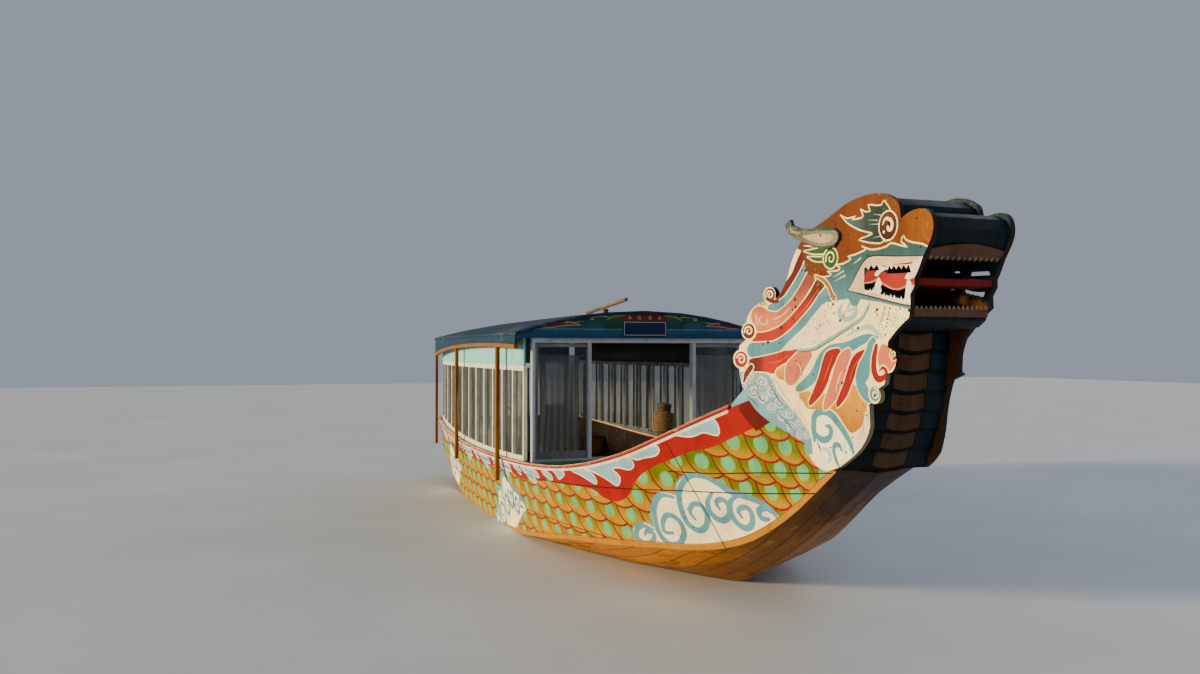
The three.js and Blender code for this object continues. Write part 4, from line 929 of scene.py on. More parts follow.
def paint_wave(c):
    """The wave at the foot, with its scrolls."""
    c.area(rounded([(5.24, 1.88), (5.25, 1.9), (5.345, 1.935), (5.45, 1.915), (5.57, 1.83), (5.64, 1.76),
                    (5.7, 1.68), (5.74, 1.6), (5.62, 1.46), (5.49, 1.4), (5.36, 1.4), (5.26, 1.5),
                    (5.23, 1.68)]), between(FOAM, FOAM_PALE, 1.45, 1.7, 1))
    c.stroke([(5.262, 1.66), (5.252, 1.76), (5.265, 1.865), (5.345, 1.905), (5.44, 1.885), (5.54, 1.815),
              (5.62, 1.74), (5.675, 1.675), (5.715, 1.6)], [.03, .055, .062, .062, .062, .06, .055, .05, .03],
             BLUE)
    c.stroke([(5.265, 1.735), (5.305, 1.69), (5.365, 1.675), (5.425, 1.7), (5.447, 1.75), (5.425, 1.785),
              (5.385, 1.79)], [.03, .05, .056, .054, .05, .045, .02], BLUE)
    c.stroke([(5.575, 1.61), (5.545, 1.645), (5.495, 1.645), (5.478, 1.6), (5.5, 1.54), (5.545, 1.475)],
             [.02, .04, .045, .042, .036, .02], BLUE)
    c.stroke([(5.35, 1.61), (5.42, 1.585), (5.435, 1.53), (5.4, 1.5)], [.02, .04, .04, .02], WAVE_PALE)
    c.stroke([(5.64, 1.68), (5.6, 1.64), (5.62, 1.585)], [.01, .03, .01], ICE)
    c.stroke([(5.293, 1.655), (5.316, 1.612), (5.339, 1.571)], [.006, .016, .004], SEAM)
    c.stroke([(5.7, 1.66), (5.665, 1.63), (5.69, 1.6)], [.004, .008, .003], CRACK)


def paint_mane(c):
    """The locks, cream between them, on yellow ground at their tips."""
    c.area([(4.3, 2.25), (4.6, 2.23), (4.72, 2.2), (4.95, 2.1), (5.1, 2.04), (5.9, 2.0), (6.3, 2.3),
            (6.2, 2.6), (5.45, 2.8), (5.2, 3.4), (4.3, 3.0)], CREAM)
    c.area(rounded([(5.09, 2.043), (5.206, 2.062), (5.321, 2.048), (5.579, 2.075), (5.722, 2.132),
                    (5.798, 2.049), (5.865, 2.002), (5.84, 1.899), (5.795, 1.808), (5.688, 1.755),
                    (5.6, 1.819), (5.526, 1.894), (5.424, 1.931), (5.302, 1.918), (5.191, 1.919),
                    (5.139, 1.968)]), between(TIP_GROUND, TIP_PALE, 1.75, 2.08, 1))
    for color, lock in MANE:
        c.area(grown(rounded(lock, 3), 0.025), CREAM)
        c.area(grown(rounded(lock, 3), 0.015), color)
    c.stroke([(4.57, 2.25), (4.52, 2.19), (4.49, 2.12)], [.05, .05, .02], DARK_RED, CREAM)
    c.strokes([[(4.7, 2.7), (4.66, 2.665), (4.69, 2.62), (4.75, 2.635), (4.74, 2.67)],
               [(4.62, 2.72), (4.63, 2.66), (4.66, 2.6)], [(4.8, 2.66), (4.9, 2.69), (5.0, 2.76)],
               [(5.06, 2.3), (5.11, 2.25), (5.1, 2.18)], [(5.5, 2.06), (5.53, 2.15), (5.58, 2.24)]],
              [.004, .011, .004], LOCK_LIGHT)
    c.strokes([[(5.31, 2.9), (5.2, 2.78), (5.05, 2.66)], [(4.97, 2.35), (4.86, 2.3), (4.76, 2.29)],
               [(5.47, 2.36), (5.41, 2.25), (5.36, 2.15)], [(5.81, 2.35), (5.72, 2.27), (5.67, 2.16)]],
              [.004, .01, .004], LOCK_GLOW)


def paint_throat_curls(c, name):
    """The curls at the throat. Those of the starboard board stand out from its edge."""
    if name == "starboard":
        c.area(rounded([(6.03, 2.44), (5.985, 2.34), (6.02, 2.25), (6.1, 2.235), (6.18, 2.29), (6.22, 2.37),
                        (6.13, 2.42)]), PINK)
        c.area(disc(6.165, 2.366, .05), CREAM)
        c.area(disc(6.165, 2.366, .042), RED)
        c.scroll(6.165, 2.366, .03, 250, -1.1, .012, CREAM)
        c.stroke([(5.972, 2.43), (5.947, 2.34), (5.945, 2.25), (5.985, 2.185), (6.055, 2.195), (6.085, 2.235),
                  (6.045, 2.268), (6.005, 2.245)], [.04, .055, .06, .056, .045, .035, .026, .014], RED, CREAM,
                 0.011)
        c.area(disc(5.955, 2.07, .075), CREAM)
        c.area(disc(5.955, 2.07, .058), BLUE)
        c.scroll(5.955, 2.07, .045, 100, -1.2, .015, CREAM)
        c.area(disc(5.95, 2.055, .011), SEAM)
    else:
        c.stroke([(5.95, 2.455), (5.92, 2.34), (5.95, 2.24), (6.02, 2.21)], [.05, .08, .07, .02], RED, CREAM)


def paint_nape(c):
    """The curls at the nape."""
    c.area(rounded([(4.665, 2.79), (4.7, 2.84), (4.74, 2.85), (4.83, 2.835), (4.8, 2.8), (4.74, 2.78)]),
           STRAW)
    c.stroke([(4.72, 2.775), (4.8, 2.805), (4.87, 2.815)], [.006, .016, .01], CREAM)
    for x, z, r, start, turns, color in CURLS:
        c.area(disc(x, z, r + 0.02), CREAM)
        c.area(disc(x, z, r), color)
        c.scroll(x, z, 0.72 * r, start, turns, 0.017, CREAM)
    c.stroke([(4.86, 2.815), (4.8, 2.815), (4.75, 2.83)], [.03, .03, .02], DARK_RED)


def paint_cheek(c):
    """The pale cheek with its whisker lines and spots."""
    c.area(CHEEK_LINE, between(CHEEK_EDGE, CHEEK, 5.0, 5.7, 0))
    c.area(rounded([(5.2, 2.62), (5.35, 2.66), (5.5, 2.62), (5.45, 2.54), (5.25, 2.5), (5.1, 2.5)]),
           CHEEK_WARM)
    c.stroke([(5.9, 2.76), (5.872, 2.71), (5.817, 2.645), (5.7, 2.59), (5.525, 2.522), (5.375, 2.464),
              (5.269, 2.416), (5.133, 2.402), (5.02, 2.41)],
             [.012, .026, .034, .034, .032, .03, .026, .016, .006], WHISKER)
    c.stroke([(5.68, 2.578), (5.522, 2.505), (5.375, 2.447), (5.269, 2.401), (5.133, 2.387), (5.03, 2.396)],
             [.005, .011, .011, .011, .009, .004], WHISKER_SHADE)
    c.stroke([(5.905, 2.755), (5.885, 2.715), (5.83, 2.66)], [.004, .008, .003], WHISKER_END)
    c.stroke([(6.071, 2.734), (6.043, 2.648), (5.998, 2.58)], [.01, .017, .006], MOSS)
    c.dots([(6.12, 2.71), (6.112, 2.68), (6.106, 2.655), (6.1, 2.63), (6.094, 2.6), (6.085, 2.573)], .009,
           SPOT)
    c.stroke([(6.2, 2.7), (6.19, 2.64), (6.16, 2.58)], [.006, .012, .006], SMOKE)
    c.stroke([(5.58, 2.755), (5.545, 2.7), (5.58, 2.65), (5.66, 2.64), (5.735, 2.675), (5.745, 2.74),
              (5.68, 2.765), (5.655, 2.72), (5.69, 2.7)], [.02, .04, .042, .04, .042, .04, .032, .026, .016],
             LOOP_BLUE)
    c.stroke([(5.62, 2.505), (5.8, 2.565), (5.9, 2.575), (5.99, 2.52), (6.04, 2.5)],
             [.01, .03, .04, .04, .02], LIP_BLUE)
    c.dots(nails(60, (5.95, 2.5), (6.36, 2.72), 3), 0.0065, SPECK)
    c.dots(nails(34, (5.05, 2.44), (5.95, 2.76), 4), 0.005, SPECK_PALE)


def paint_face(c):
    """Ochre above a flame edge and blue-grey below it, the brow, the eye and the nostril."""
    c.area(FLAME_EDGE + [(5.24, 3.02), (5.3, 2.985), (5.4, 2.93), (5.45, 2.84), (5.36, 2.79), (5.46, 2.785),
                         (5.57, 2.795), (5.66, 2.8), (5.7, 2.745), (5.76, 2.74), (5.8, 2.79), (6.0, 2.76),
                         (6.4, 2.68), (6.6, 2.9)], between(FACE_BLUE, TEAL, 2.75, 3.15, 1))
    c.area(FLAME_EDGE + [(5.2, 3.02), (5.165, 3.08), (5.15, 3.16), (5.13, 3.22), (4.95, 3.3), (4.95, 3.9),
                         (6.8, 3.9), (6.8, 3.12)], between(RUST, OCHRE, 5.25, 5.95, 0))
    c.area(rounded([(6.2, 3.52), (6.24, 3.36), (6.2, 3.22), (6.34, 3.17), (6.5, 3.17), (6.62, 3.12),
                    (6.7, 3.45), (6.4, 3.5)]), between(OCHRE, NOSE, 6.2, 6.45, 0))
    c.stroke(FLAME_EDGE, [.013], CREAM, steps=2)
    for tip, root in (((5.46, 2.975), (5.6, 3.02)), ((5.47, 2.94), (5.62, 2.985)),
                      ((5.7, 3.06), (5.8, 3.105))):
        c.stroke([root, tip], [.014, 0], ICE)
    c.area(BROW, between(BROW_PALE, BROW_DEEP, 5.6, 6.0, 0))
    c.stroke(BROW + BROW[:1], [.012], CREAM, steps=2)
    c.strokes([[(5.87, 3.392), (5.99, 3.375)], [(5.89, 3.357), (6.0, 3.345)], [(5.93, 3.43), (6.03, 3.41)],
               [(5.93, 3.245), (6.03, 3.255)]], [0, .009], HAIR)
    c.area(disc(6.108, 3.322, .112, 1.04), CREAM)
    c.area(disc(6.108, 3.322, .098, 1.06), BLACK)
    c.area(disc(6.108, 3.322, .09, 1.06), between(EYE_BROWN, EYE_PALE, 3.24, 3.4, 1))
    c.stroke([(6.045, 3.335), (6.075, 3.375), (6.13, 3.365), (6.155, 3.325), (6.135, 3.29), (6.105, 3.3),
              (6.11, 3.325)], [.008, .022, .028, .03, .03, .026, .016], CREAM)
    c.area(disc(6.118, 3.335, .016), BLACK)
    c.area(disc(6.06, 3.28, .013), EYE_GLINT)
    c.stroke([(6.49, 3.29), (6.485, 3.22), (6.53, 3.175), (6.59, 3.195), (6.585, 3.245), (6.545, 3.255)],
             [.008, .016, .018, .016, .012, .006], NOSTRIL)
    c.stroke([(6.535, 3.3), (6.525, 3.26)], [.01, .018, .008], NOSTRIL_PALE)


def paint_ear(c):
    """The ear with its leaves, the line under the horn, and the fork."""
    c.stroke([(5.145, 3.262), (5.22, 3.252), (5.34, 3.235), (5.46, 3.225)], [.006, .014, .012, .006], CREAM)
    c.stroke([(5.155, 3.215), (5.25, 3.205), (5.35, 3.205), (5.44, 3.205)], [0, .035, .05, .05], LEAF, CREAM,
             0.01)
    c.stroke([(5.19, 3.165), (5.26, 3.145), (5.33, 3.135), (5.38, 3.145)], [0, .03, .035, .03], LEAF, CREAM,
             0.01)
    c.area(disc(5.447, 3.135, .092), CREAM)
    c.area(disc(5.447, 3.135, .08), LEAF)
    c.scroll(5.447, 3.135, .062, 200, -1.2, .014, CREAM)
    c.stroke([(5.275, 3.005), (5.36, 2.965), (5.42, 2.91), (5.46, 2.84), (5.485, 2.815)],
             [.012, .03, .034, .042, .05], YELLOW, CREAM, 0.009)
    c.stroke([(5.31, 2.795), (5.4, 2.825), (5.54, 2.825)], [.004, .013, .005], FORK_SHADE)


def paint_teeth(c, x0, x1, z0, z1, count, root, color):
    """A row of pointed teeth between two points. root reaches up into the upper gum, or down."""
    way = math.copysign(1, root)
    for i in range(count):
        a, b = x0 + (x1 - x0) * i / count, x0 + (x1 - x0) * (i + 1) / count
        za, zb = z0 + (z1 - z0) * i / count, z0 + (z1 - z0) * (i + 1) / count
        tip = ((a + b) / 2, (za + zb) / 2 - .03 * way)
        c.area([(a, za + root), (b, zb + root), (b, zb - .002 * way), tip, (a, za - .002 * way)], color)


def paint_mouth(c):
    """The gums, teeth, tongue and fangs, the lips round them, and black round the holes as painted shade of
    the mouth's inside.
    """
    c.area(GUM_LINE, between(GUM_EDGE, GUM, 5.7, 6.1, 0))
    # Black round the holes, as painted shade of the mouth's dark inside
    c.area([(5.84, 3.03), (6.4, 3.03), (6.4, 2.93), (6.31, 2.74), (6.1, 2.79), (5.99, 2.83), (5.84, 2.85)],
           BLACK)
    for x0, x1, z0, z1, count in ((5.865, 6.03, 3.035, 3.03, 3), (6.075, 6.375, 3.022, 3.008, 6)):
        paint_teeth(c, x0, x1, z0, z1, count, .01, GUM)
    for x0, x1, z0, z1, count in ((5.83, 5.965, 2.845, 2.84, 3), (6.04, 6.31, 2.8, 2.748, 7)):
        paint_teeth(c, x0, x1, z0, z1, count, -.012, LOWER_TEETH)
    c.area(TONGUE_LINE, between(TONGUE_ROOT, TONGUE_TIP, 5.9, 6.3, 0))
    c.stroke([(5.84, 2.912), (5.92, 2.915), (5.99, 2.93), (6.05, 2.895), (6.13, 2.86), (6.21, 2.842),
              (6.3, 2.862), (6.38, 2.875)], [.008, .012, .012, .012, .012, .012, .01, .006], TONGUE_LIGHT)
    for fang in FANGS:
        c.area(rounded(fang, 3), FANG)
    c.stroke([(6.53, 3.062), (6.2, 3.088), (5.96, 3.112), (5.87, 3.1), (5.81, 3.055), (5.75, 2.985),
              (5.69, 2.91), (5.645, 2.862)], [.006, .011, .012, .012, .012, .012, .01, .005], MOUTH_LINE)
    # A painted shadow under the gum
    c.stroke([(5.64, 2.868), (5.75, 2.842), (5.87, 2.815), (6.05, 2.775), (6.21, 2.74), (6.4, 2.708)],
             [.006, .011, .012, .012, .012, .01], MOUTH_LINE)


def paint_head_nails(c):
    """Large, middling and small nail heads."""
    c.dots([(5.049, 2.821), (5.056, 2.757), (4.9, 2.59), (4.754, 2.466), (5.581, 2.142), (5.477, 2.765),
            (5.981, 2.704), (5.167, 3.055), (6.333, 2.685), (5.559, 2.633), (5.768, 2.569)], 0.014,
           NAIL_LARGE)
    c.dots([(5.51, 3.4), (5.47, 3.43), (5.66, 3.3), (5.88, 3.12), (5.13, 3.06), (5.02, 2.74), (5.03, 2.66),
            (4.88, 2.46), (5.33, 2.6), (5.71, 2.56), (5.98, 2.66), (5.25, 2.2), (5.62, 2.24), (5.53, 2.12),
            (5.75, 1.93), (5.86, 1.9), (5.7, 1.72), (5.63, 1.6), (6.42, 3.34), (6.25, 3.34), (6.46, 3.13),
            (4.7, 2.45), (5.44, 1.62), (5.06, 2.31)], 0.009, NAIL)
    c.dots(nails(30, (4.6, 1.6), (5.9, 2.3), 11), 0.005, SPECK)


def paint_head(name, side):
    def rest(centre, normal):
        if side * normal[1] < -0.5:
            return JAW_BACK if centre[2] < 2.75 and centre[0] > 5.5 else BOARD_BACK
        # Rims: pale low on the starboard board as painted light, dark elsewhere, on the port board as painted
        # shade
        return LIT_EDGE if centre[2] < 2.2 and side < 0 else BOARD_EDGE

    c = Canvas(f"head_board_{name}", (0, side, 0), SIDEWAYS_PLANE, CREAM, rest)

    paint_skirt(c)
    paint_wave(c)
    paint_mane(c)
    paint_throat_curls(c, name)
    paint_nape(c)
    paint_cheek(c)
    paint_face(c)
    paint_ear(c)
    paint_mouth(c)
    paint_head_nails(c)
    c.finish(f"painted_head_{name}", FIGURES, "dragon_paint")


def paint_horn(name, side):
    c = Canvas(f"horn_{name}", (0, side, 0), SIDEWAYS_PLANE, HORN_GROUND, HORN_BACK)
    spine = [(5.02, 3.455), (4.995, 3.425), (5.02, 3.385), (5.09, 3.36), (5.22, 3.325), (5.33, 3.305),
             (5.44, 3.295), (5.52, 3.295)]
    c.stroke(spine, [.045, .055, .06, .07, .1, .125, .125, .11], between(HORN_DARK, HORN_PALE, 5.0, 5.5, 0))
    c.stroke([(5.18, 3.335), (5.27, 3.315), (5.37, 3.3), (5.45, 3.295), (5.49, 3.295)],
             [.02, .055, .075, .07, .05], HORN_LIGHT)
    c.stroke([(5.03, 3.43), (5.05, 3.39), (5.14, 3.365)], [.01, .024, .01], HORN_TIP)
    c.dots([(5.365, 3.325)], 0.011, NAIL)
    c.dots(nails(44, (5.0, 3.28), (5.34, 3.42), 5), 0.007, HORN_SPECK)
    c.finish(f"painted_horn_{name}", FIGURES, "horn_paint")


# Topsides: fish scales, clouds, a red band with blue flames under the sheer

BAND_EDGE = [
    (1.47, .9), (1.91, .92), (2.32, .93), (2.48, .86), (2.68, .835), (2.87, .92), (3.00, 1.05), (3.1, 1.14),
    (3.29, 1.25), (3.51, 1.34), (3.77, 1.44), (4.00, 1.5), (4.25, 1.61), (4.46, 1.7), (4.66, 1.8),
    (4.9, 1.95), (5.3, 2.2),
]
FLAMES = [
    [(3.6, 1.62), (3.76, 1.7), (3.93, 1.735), (4.08, 1.765), (4.12, 1.7), (4.09, 1.625), (3.96, 1.645),
     (3.84, 1.6), (3.72, 1.595)],
    [(3.05, 1.36), (3.18, 1.39), (3.3, 1.45), (3.43, 1.46), (3.38, 1.385), (3.24, 1.35), (3.12, 1.32)],
    [(2.3, 1.16), (2.48, 1.21), (2.67, 1.265), (2.88, 1.31), (3.02, 1.325), (3.07, 1.26), (2.99, 1.205),
     (2.86, 1.215), (2.75, 1.185), (2.83, 1.11), (2.76, 1.02), (2.66, 1.06), (2.56, 1.1), (2.44, 1.13)],
    [(2.02, 1.13), (2.18, 1.135), (2.32, 1.13), (2.44, 1.07), (2.43, 1.00), (2.32, 1.03), (2.17, 1.075),
     (2.06, 1.09)],
    [(1.56, 1.06), (1.7, 1.07), (1.83, 1.05), (1.78, 1.01), (1.66, .965), (1.62, 1.01)],
]
# One group of flames for the after part of the side, forward and up from its own origin on the sheer
SPLASH = [
    [(-.55, -.02), (-.3, -.03), (-.05, -.045), (.1, -.07), (.13, -.12), (.02, -.125), (-.12, -.11),
     (-.02, -.17), (-.1, -.2), (-.25, -.14), (-.4, -.09)],
    [(.3, -.03), (.45, -.045), (.58, -.09), (.55, -.13), (.43, -.1), (.34, -.07)],
]
CLOUD_LINE = [
    (2.8, .57), (2.9, .63), (3.02, .66), (3.09, .62), (3.11, .76), (3.18, .9), (3.3, 1.00), (3.42, 1.00),
    (3.47, 1.00), (3.52, 1.11), (3.62, 1.19), (3.76, 1.235), (3.9, 1.19), (4.03, 1.1), (4.12, 1.09),
    (4.26, 1.07), (4.4, 1.01), (4.5, .95), (4.53, .87), (4.36, .8), (4.21, .72), (4.06, .64), (3.84, .52),
    (3.5, .47), (3.26, .43), (2.93, .41), (2.8, .46),
]
CLOUD_SCROLLS = [
    [(3.43, .97), (3.3, .975), (3.18, .86), (3.135, .7), (3.14, .56), (3.22, .475), (3.34, .5), (3.43, .62),
     (3.41, .745), (3.3, .78), (3.215, .69), (3.21, .595), (3.3, .6)],
    [(3.86, 1.2), (3.72, 1.21), (3.6, 1.14), (3.51, 1.02), (3.48, .87), (3.5, .73), (3.59, .665), (3.69, .71),
     (3.745, .83), (3.71, .925), (3.62, .92), (3.57, .84), (3.6, .775)],
    [(3.87, 1.06), (3.79, .96), (3.8, .85), (3.88, .8), (3.97, .845), (4.005, .94), (3.96, 1.01),
     (3.885, .975), (3.9, .91)],
    [(4.14, 1.07), (4.04, 1.00), (4.01, .89), (4.05, .79), (4.13, .76), (4.21, .82), (4.23, .925),
     (4.17, .965), (4.095, .92), (4.115, .86)],
    [(3.07, .6), (2.94, .625), (2.84, .56), (2.82, .48), (2.9, .435), (3.01, .465), (3.06, .55), (2.98, .575),
     (2.94, .53)],
    [(4.49, .94), (4.4, .985), (4.32, .945), (4.335, .88), (4.41, .885)],
    [(3.8, 1.225), (3.93, 1.175), (4.03, 1.11), (4.14, 1.075), (4.31, 1.045), (4.45, .985), (4.515, .89)],
]
SEAMS = [
    [(1.0, .885), (1.54, .91), (2.37, .96), (2.98, 1.0), (3.46, 1.04), (4.04, 1.08), (4.62, 1.14),
     (5.09, 1.2), (5.5, 1.26)],
    [(3.47, 1.23), (3.93, 1.25), (4.38, 1.3), (4.99, 1.36), (5.34, 1.4)],
    [(3.54, 1.52), (3.61, 1.29), (3.69, 1.04), (3.77, .77), (3.85, .5)],
]


def outline_of_side(name):
    """Heights of the sheer and of the chine along one topside."""
    co = corners(f"topside_{name}")
    xs = np.unique(np.round(co[:, 0], 3))
    rows = []
    for x in xs:
        here = co[np.abs(co[:, 0] - x) < 0.002]
        rows.append((x, here[:, 2].max(), here[:, 2].min()))
    return np.array(rows)


SCALE_PITCH, WIDEST_PITCH, SCALE_ROW = 0.27, 0.36, 0.21
SCALE_TALL, SCALE_FOOT = 0.34, 0.22  # the height of a scale, and of its round foot
SCALE_INSETS = (.021, .055, .09, .125)  # smaller copies, which carry the change of colour


def scale_outline(x, z, half, inset=0.0):
    """One fish scale: x its after edge, z its lowest point, half its half width."""
    a = np.radians(np.linspace(180, 360, 11))
    w, h = half - inset, SCALE_FOOT - inset
    foot = np.stack([x + half + w * np.cos(a), z + SCALE_FOOT + h * np.sin(a)], 1)
    top = z + SCALE_TALL
    return np.vstack([[(x + inset, top)], foot, [(x + 2 * half - inset, top)]])


def scale_tint(x, z, half, green):
    """Orange at the free edge, yellow inside it, and green where the scale comes out from under the next."""
    low, mid, high = (np.array(linear(c)) for c in (SCALE_TIP, SCALE_YELLOW, SCALE_GREEN))

    def tint(points):
        t = 0.8 * (points[:, 1] - z) / 0.24 + 0.25 * (points[:, 0] - x) / (2 * half)
        t = np.clip(t, 0, 1)[:, None]
        first, second = np.clip(t / 0.3, 0, 1), np.clip((t - 0.52 + 0.34 * green) / 0.34, 0, 1)
        return low + (mid - low) * first + (high - mid) * second * (0.55 + 0.45 * green)

    return tint


def paint_scales(c, sheer_band, chine):
    """Rows of scales, the lower rows first and each scale over the one behind it."""
    source = random.Random(2)
    columns, x = [], 5.43
    while x > -6.9:
        columns.append(x)
        x -= SCALE_PITCH if x > 4 else min(WIDEST_PITCH, SCALE_PITCH + 0.036 * (4 - x))
    for row in range(-4, 10):
        z = 1.4 - SCALE_ROW * (8 - row) + 0.42
        for i in reversed(range(len(columns) - 1)):
            pitch = columns[i] - columns[i + 1]
            left = columns[i] - (0.12 if row % 2 else 0.0) * pitch / SCALE_PITCH + source.uniform(-.01, .01)
            if z + 0.3 < chine(left) or z > sheer_band(left) + 0.02:
                continue
            lift = z + source.uniform(-.008, .008)
            half = 0.8 * pitch
            c.area(scale_outline(left, lift, half), SCALE_LINE)
            green = min(1.0, max(0.0, 0.34 + 0.55 * (lift - 0.6) + source.uniform(-.2, .25)))
            tint = scale_tint(left, lift, half, green)
            for inset in SCALE_INSETS:
                c.area(scale_outline(left, lift, half, inset), tint)
            blob = disc(left + 0.6 * pitch, lift + .168, .054, 1.2, 10, source.uniform(-.7, .1))
            c.area(grown(blob, .018), between(HALO_LOW, HALO_HIGH, lift + .1, lift + .25, 1))
            c.area(blob, MINT if lift < 1.3 else MINT_HIGH)


def paint_clouds(c):
    """The clouds at the bow, repeated along the side."""
    for shift, lower in ((0.0, 0.0), (-4.35, 0.47), (-8.3, 0.4)):
        away = np.array((shift, -lower))
        cloud = rounded(CLOUD_LINE + away, 3)
        c.area(grown(cloud, 0.016), CLOUD_BLUE)
        c.area(cloud, CLOUD)
        for line in CLOUD_SCROLLS:
            c.stroke(line + away, [.03, .055, .062, .062, .06, .056, .05, .03], CLOUD_BLUE, steps=3)


def paint_band(c, sheer, band):
    """The red band under the sheer, with its flames, the pale line over it and a painted shadow of the head.
    """
    aft = [(x, band(x) - 0.03 * math.sin(2.9 * x) - 0.018 * math.sin(7.1 * x))
           for x in np.arange(-6.7, 1.45, 0.14)]
    c.area(aft + list(curve(BAND_EDGE, 3)) + [(5.5, 3), (-6.8, 3)], between(BAND_AFT, BAND_RED, 0.5, 2.6, 0))
    # A painted shadow cast by the head on the band: a darker red patch
    c.area([(4.38, 1.86), (4.45, 2.1), (4.62, 2.2), (4.78, 2.0), (4.76, 1.82), (4.665, 1.768),
            (4.503, 1.684)], BAND_SHADOW)
    groups = [rounded(f, 3) for f in FLAMES]
    for x in np.arange(-6.0, 1.3, 1.15):
        groups += [rounded([(x + px, sheer(x + px) + pz) for px, pz in f], 3) for f in SPLASH]
    for flame in groups:
        c.area(grown(flame, 0.014), FLAME_LINE)
        c.area(flame, FLAME_BLUE)
    c.stroke([(x, sheer(x) - .012) for x in np.arange(-6.5, 4.5, 0.25)], [.034], SHEER_LINE, steps=2)


def paint_planking(c, sheer, chine):
    """The chine strake, the seams and butts of the planks, and the nails."""
    for up, width, color in ((.024, .065, CHINE_YELLOW), (.062, .007, CHINE_SHADE)):
        c.stroke([(x, chine(x) + up) for x in np.linspace(-6.55, 5.42, 60)], [width], color, steps=2)
    for line in SEAMS:
        c.stroke(line, [.011], SEAM, steps=3)
    c.stroke([(x, 0.885 - 0.0024 * (x - 1) ** 2) for x in np.arange(-6.5, 1.1, 0.5)], [.01], SEAM, steps=2)
    c.stroke([(x, 0.4 + 0.02 * math.sin(x)) for x in np.arange(-5.0, 2.6, 0.5)], [.009], SEAM, steps=2)
    for x, low, high in ((-0.9, .4, .885), (-3.6, -.02, .4), (-4.9, .4, .87), (1.6, .41, .9)):
        c.stroke([(x, low), (x + .012, high)], [.009], SEAM)
    c.dots([(3.5 + .05 * (i % 2), 1.5 - .09 * i) for i in range(11)], 0.008, SEAM)
    for x in np.arange(-6.3, 4.6, 0.55):
        c.dots([(x, sheer(x) - .06), (x + .03, sheer(x) - .3), (x + .01, sheer(x) - .52)], 0.007, SIDE_NAIL)


def paint_side(name, side):
    def rest(centre, normal):
        # The inner faces near-black as painted shade, the edges pale
        return INSIDE_SHADE if side * normal[1] < 0 else SIDE_EDGE

    rows = outline_of_side(name)

    def sheer(x):
        return float(np.interp(x, rows[:, 0], rows[:, 1]))

    def chine(x):
        return float(np.interp(x, rows[:, 0], rows[:, 2]))

    def band(x):
        return float(np.interp(x, *zip(*BAND_EDGE))) if x > 1.4 else sheer(x) - 0.15

    c = Canvas(f"topside_{name}", (0, side, 0), SIDEWAYS_PLANE, SCALE_YELLOW, rest)
    paint_scales(c, band, chine)
    paint_clouds(c)
    paint_band(c, sheer, band)
    paint_planking(c, sheer, chine)
    c.finish(f"painted_side_{name}", SIDE_FIGURES, "side_paint")


# Throat plates: three colours across, each plate with a painted shadow along its foot

THROAT_BOTTOM, THROAT_TOP, THROAT_PLATES = 1.44, 2.535, 7
THROAT_FLAT = 0.16  # half the width of the flat strip down the middle


def paint_throat():
    c = Canvas("throat_plates", FORWARD, CROSS_PLANE, between(PLATE_FOOT, PLATE_HEAD, 1.5, 2.5, 1),
               PLATE_BACK)
    flat = THROAT_FLAT
    c.area([(-flat, 0), (flat, 0), (flat, 3), (-flat, 3)], between(STRIP_FOOT, STRIP_HEAD, 1.5, 2.5, 1))
    c.area([(flat, 0), (1, 0), (1, 3), (flat, 3)], between(PORT_FOOT, PORT_HEAD, 1.5, 2.5, 1))
    pitch = (THROAT_TOP - THROAT_BOTTOM) / THROAT_PLATES
    for i in range(THROAT_PLATES + 1):
        z = THROAT_BOTTOM + i * pitch
        # A painted shadow under the foot of each plate
        c.stroke([(-flat, z + .022), (-.08, z + .004), (0, z - .004), (.08, z + .004), (flat, z + .022)],
                 [.034], STRIP_LAP_SHADOW)
        for s in (-1, 1):
            c.stroke([(s * flat, z + .02), (s * .25, z + .012), (s * .5, z + .02)], [.022], SIDE_LAP_SHADOW)
    for s in (-1, 1):
        c.stroke([(s * flat, 1.4), (s * flat, 2.56)], [.014], STRIP_EDGE)
    c.dots(nails(30, (-.3, 1.5), (.3, 2.5), 21), 0.006, PLATE_NAIL)
    c.finish("painted_throat", PLATE_FIGURES, "belly_paint")


# Fascia over the doors: scrolls and leaves over a blue stripe

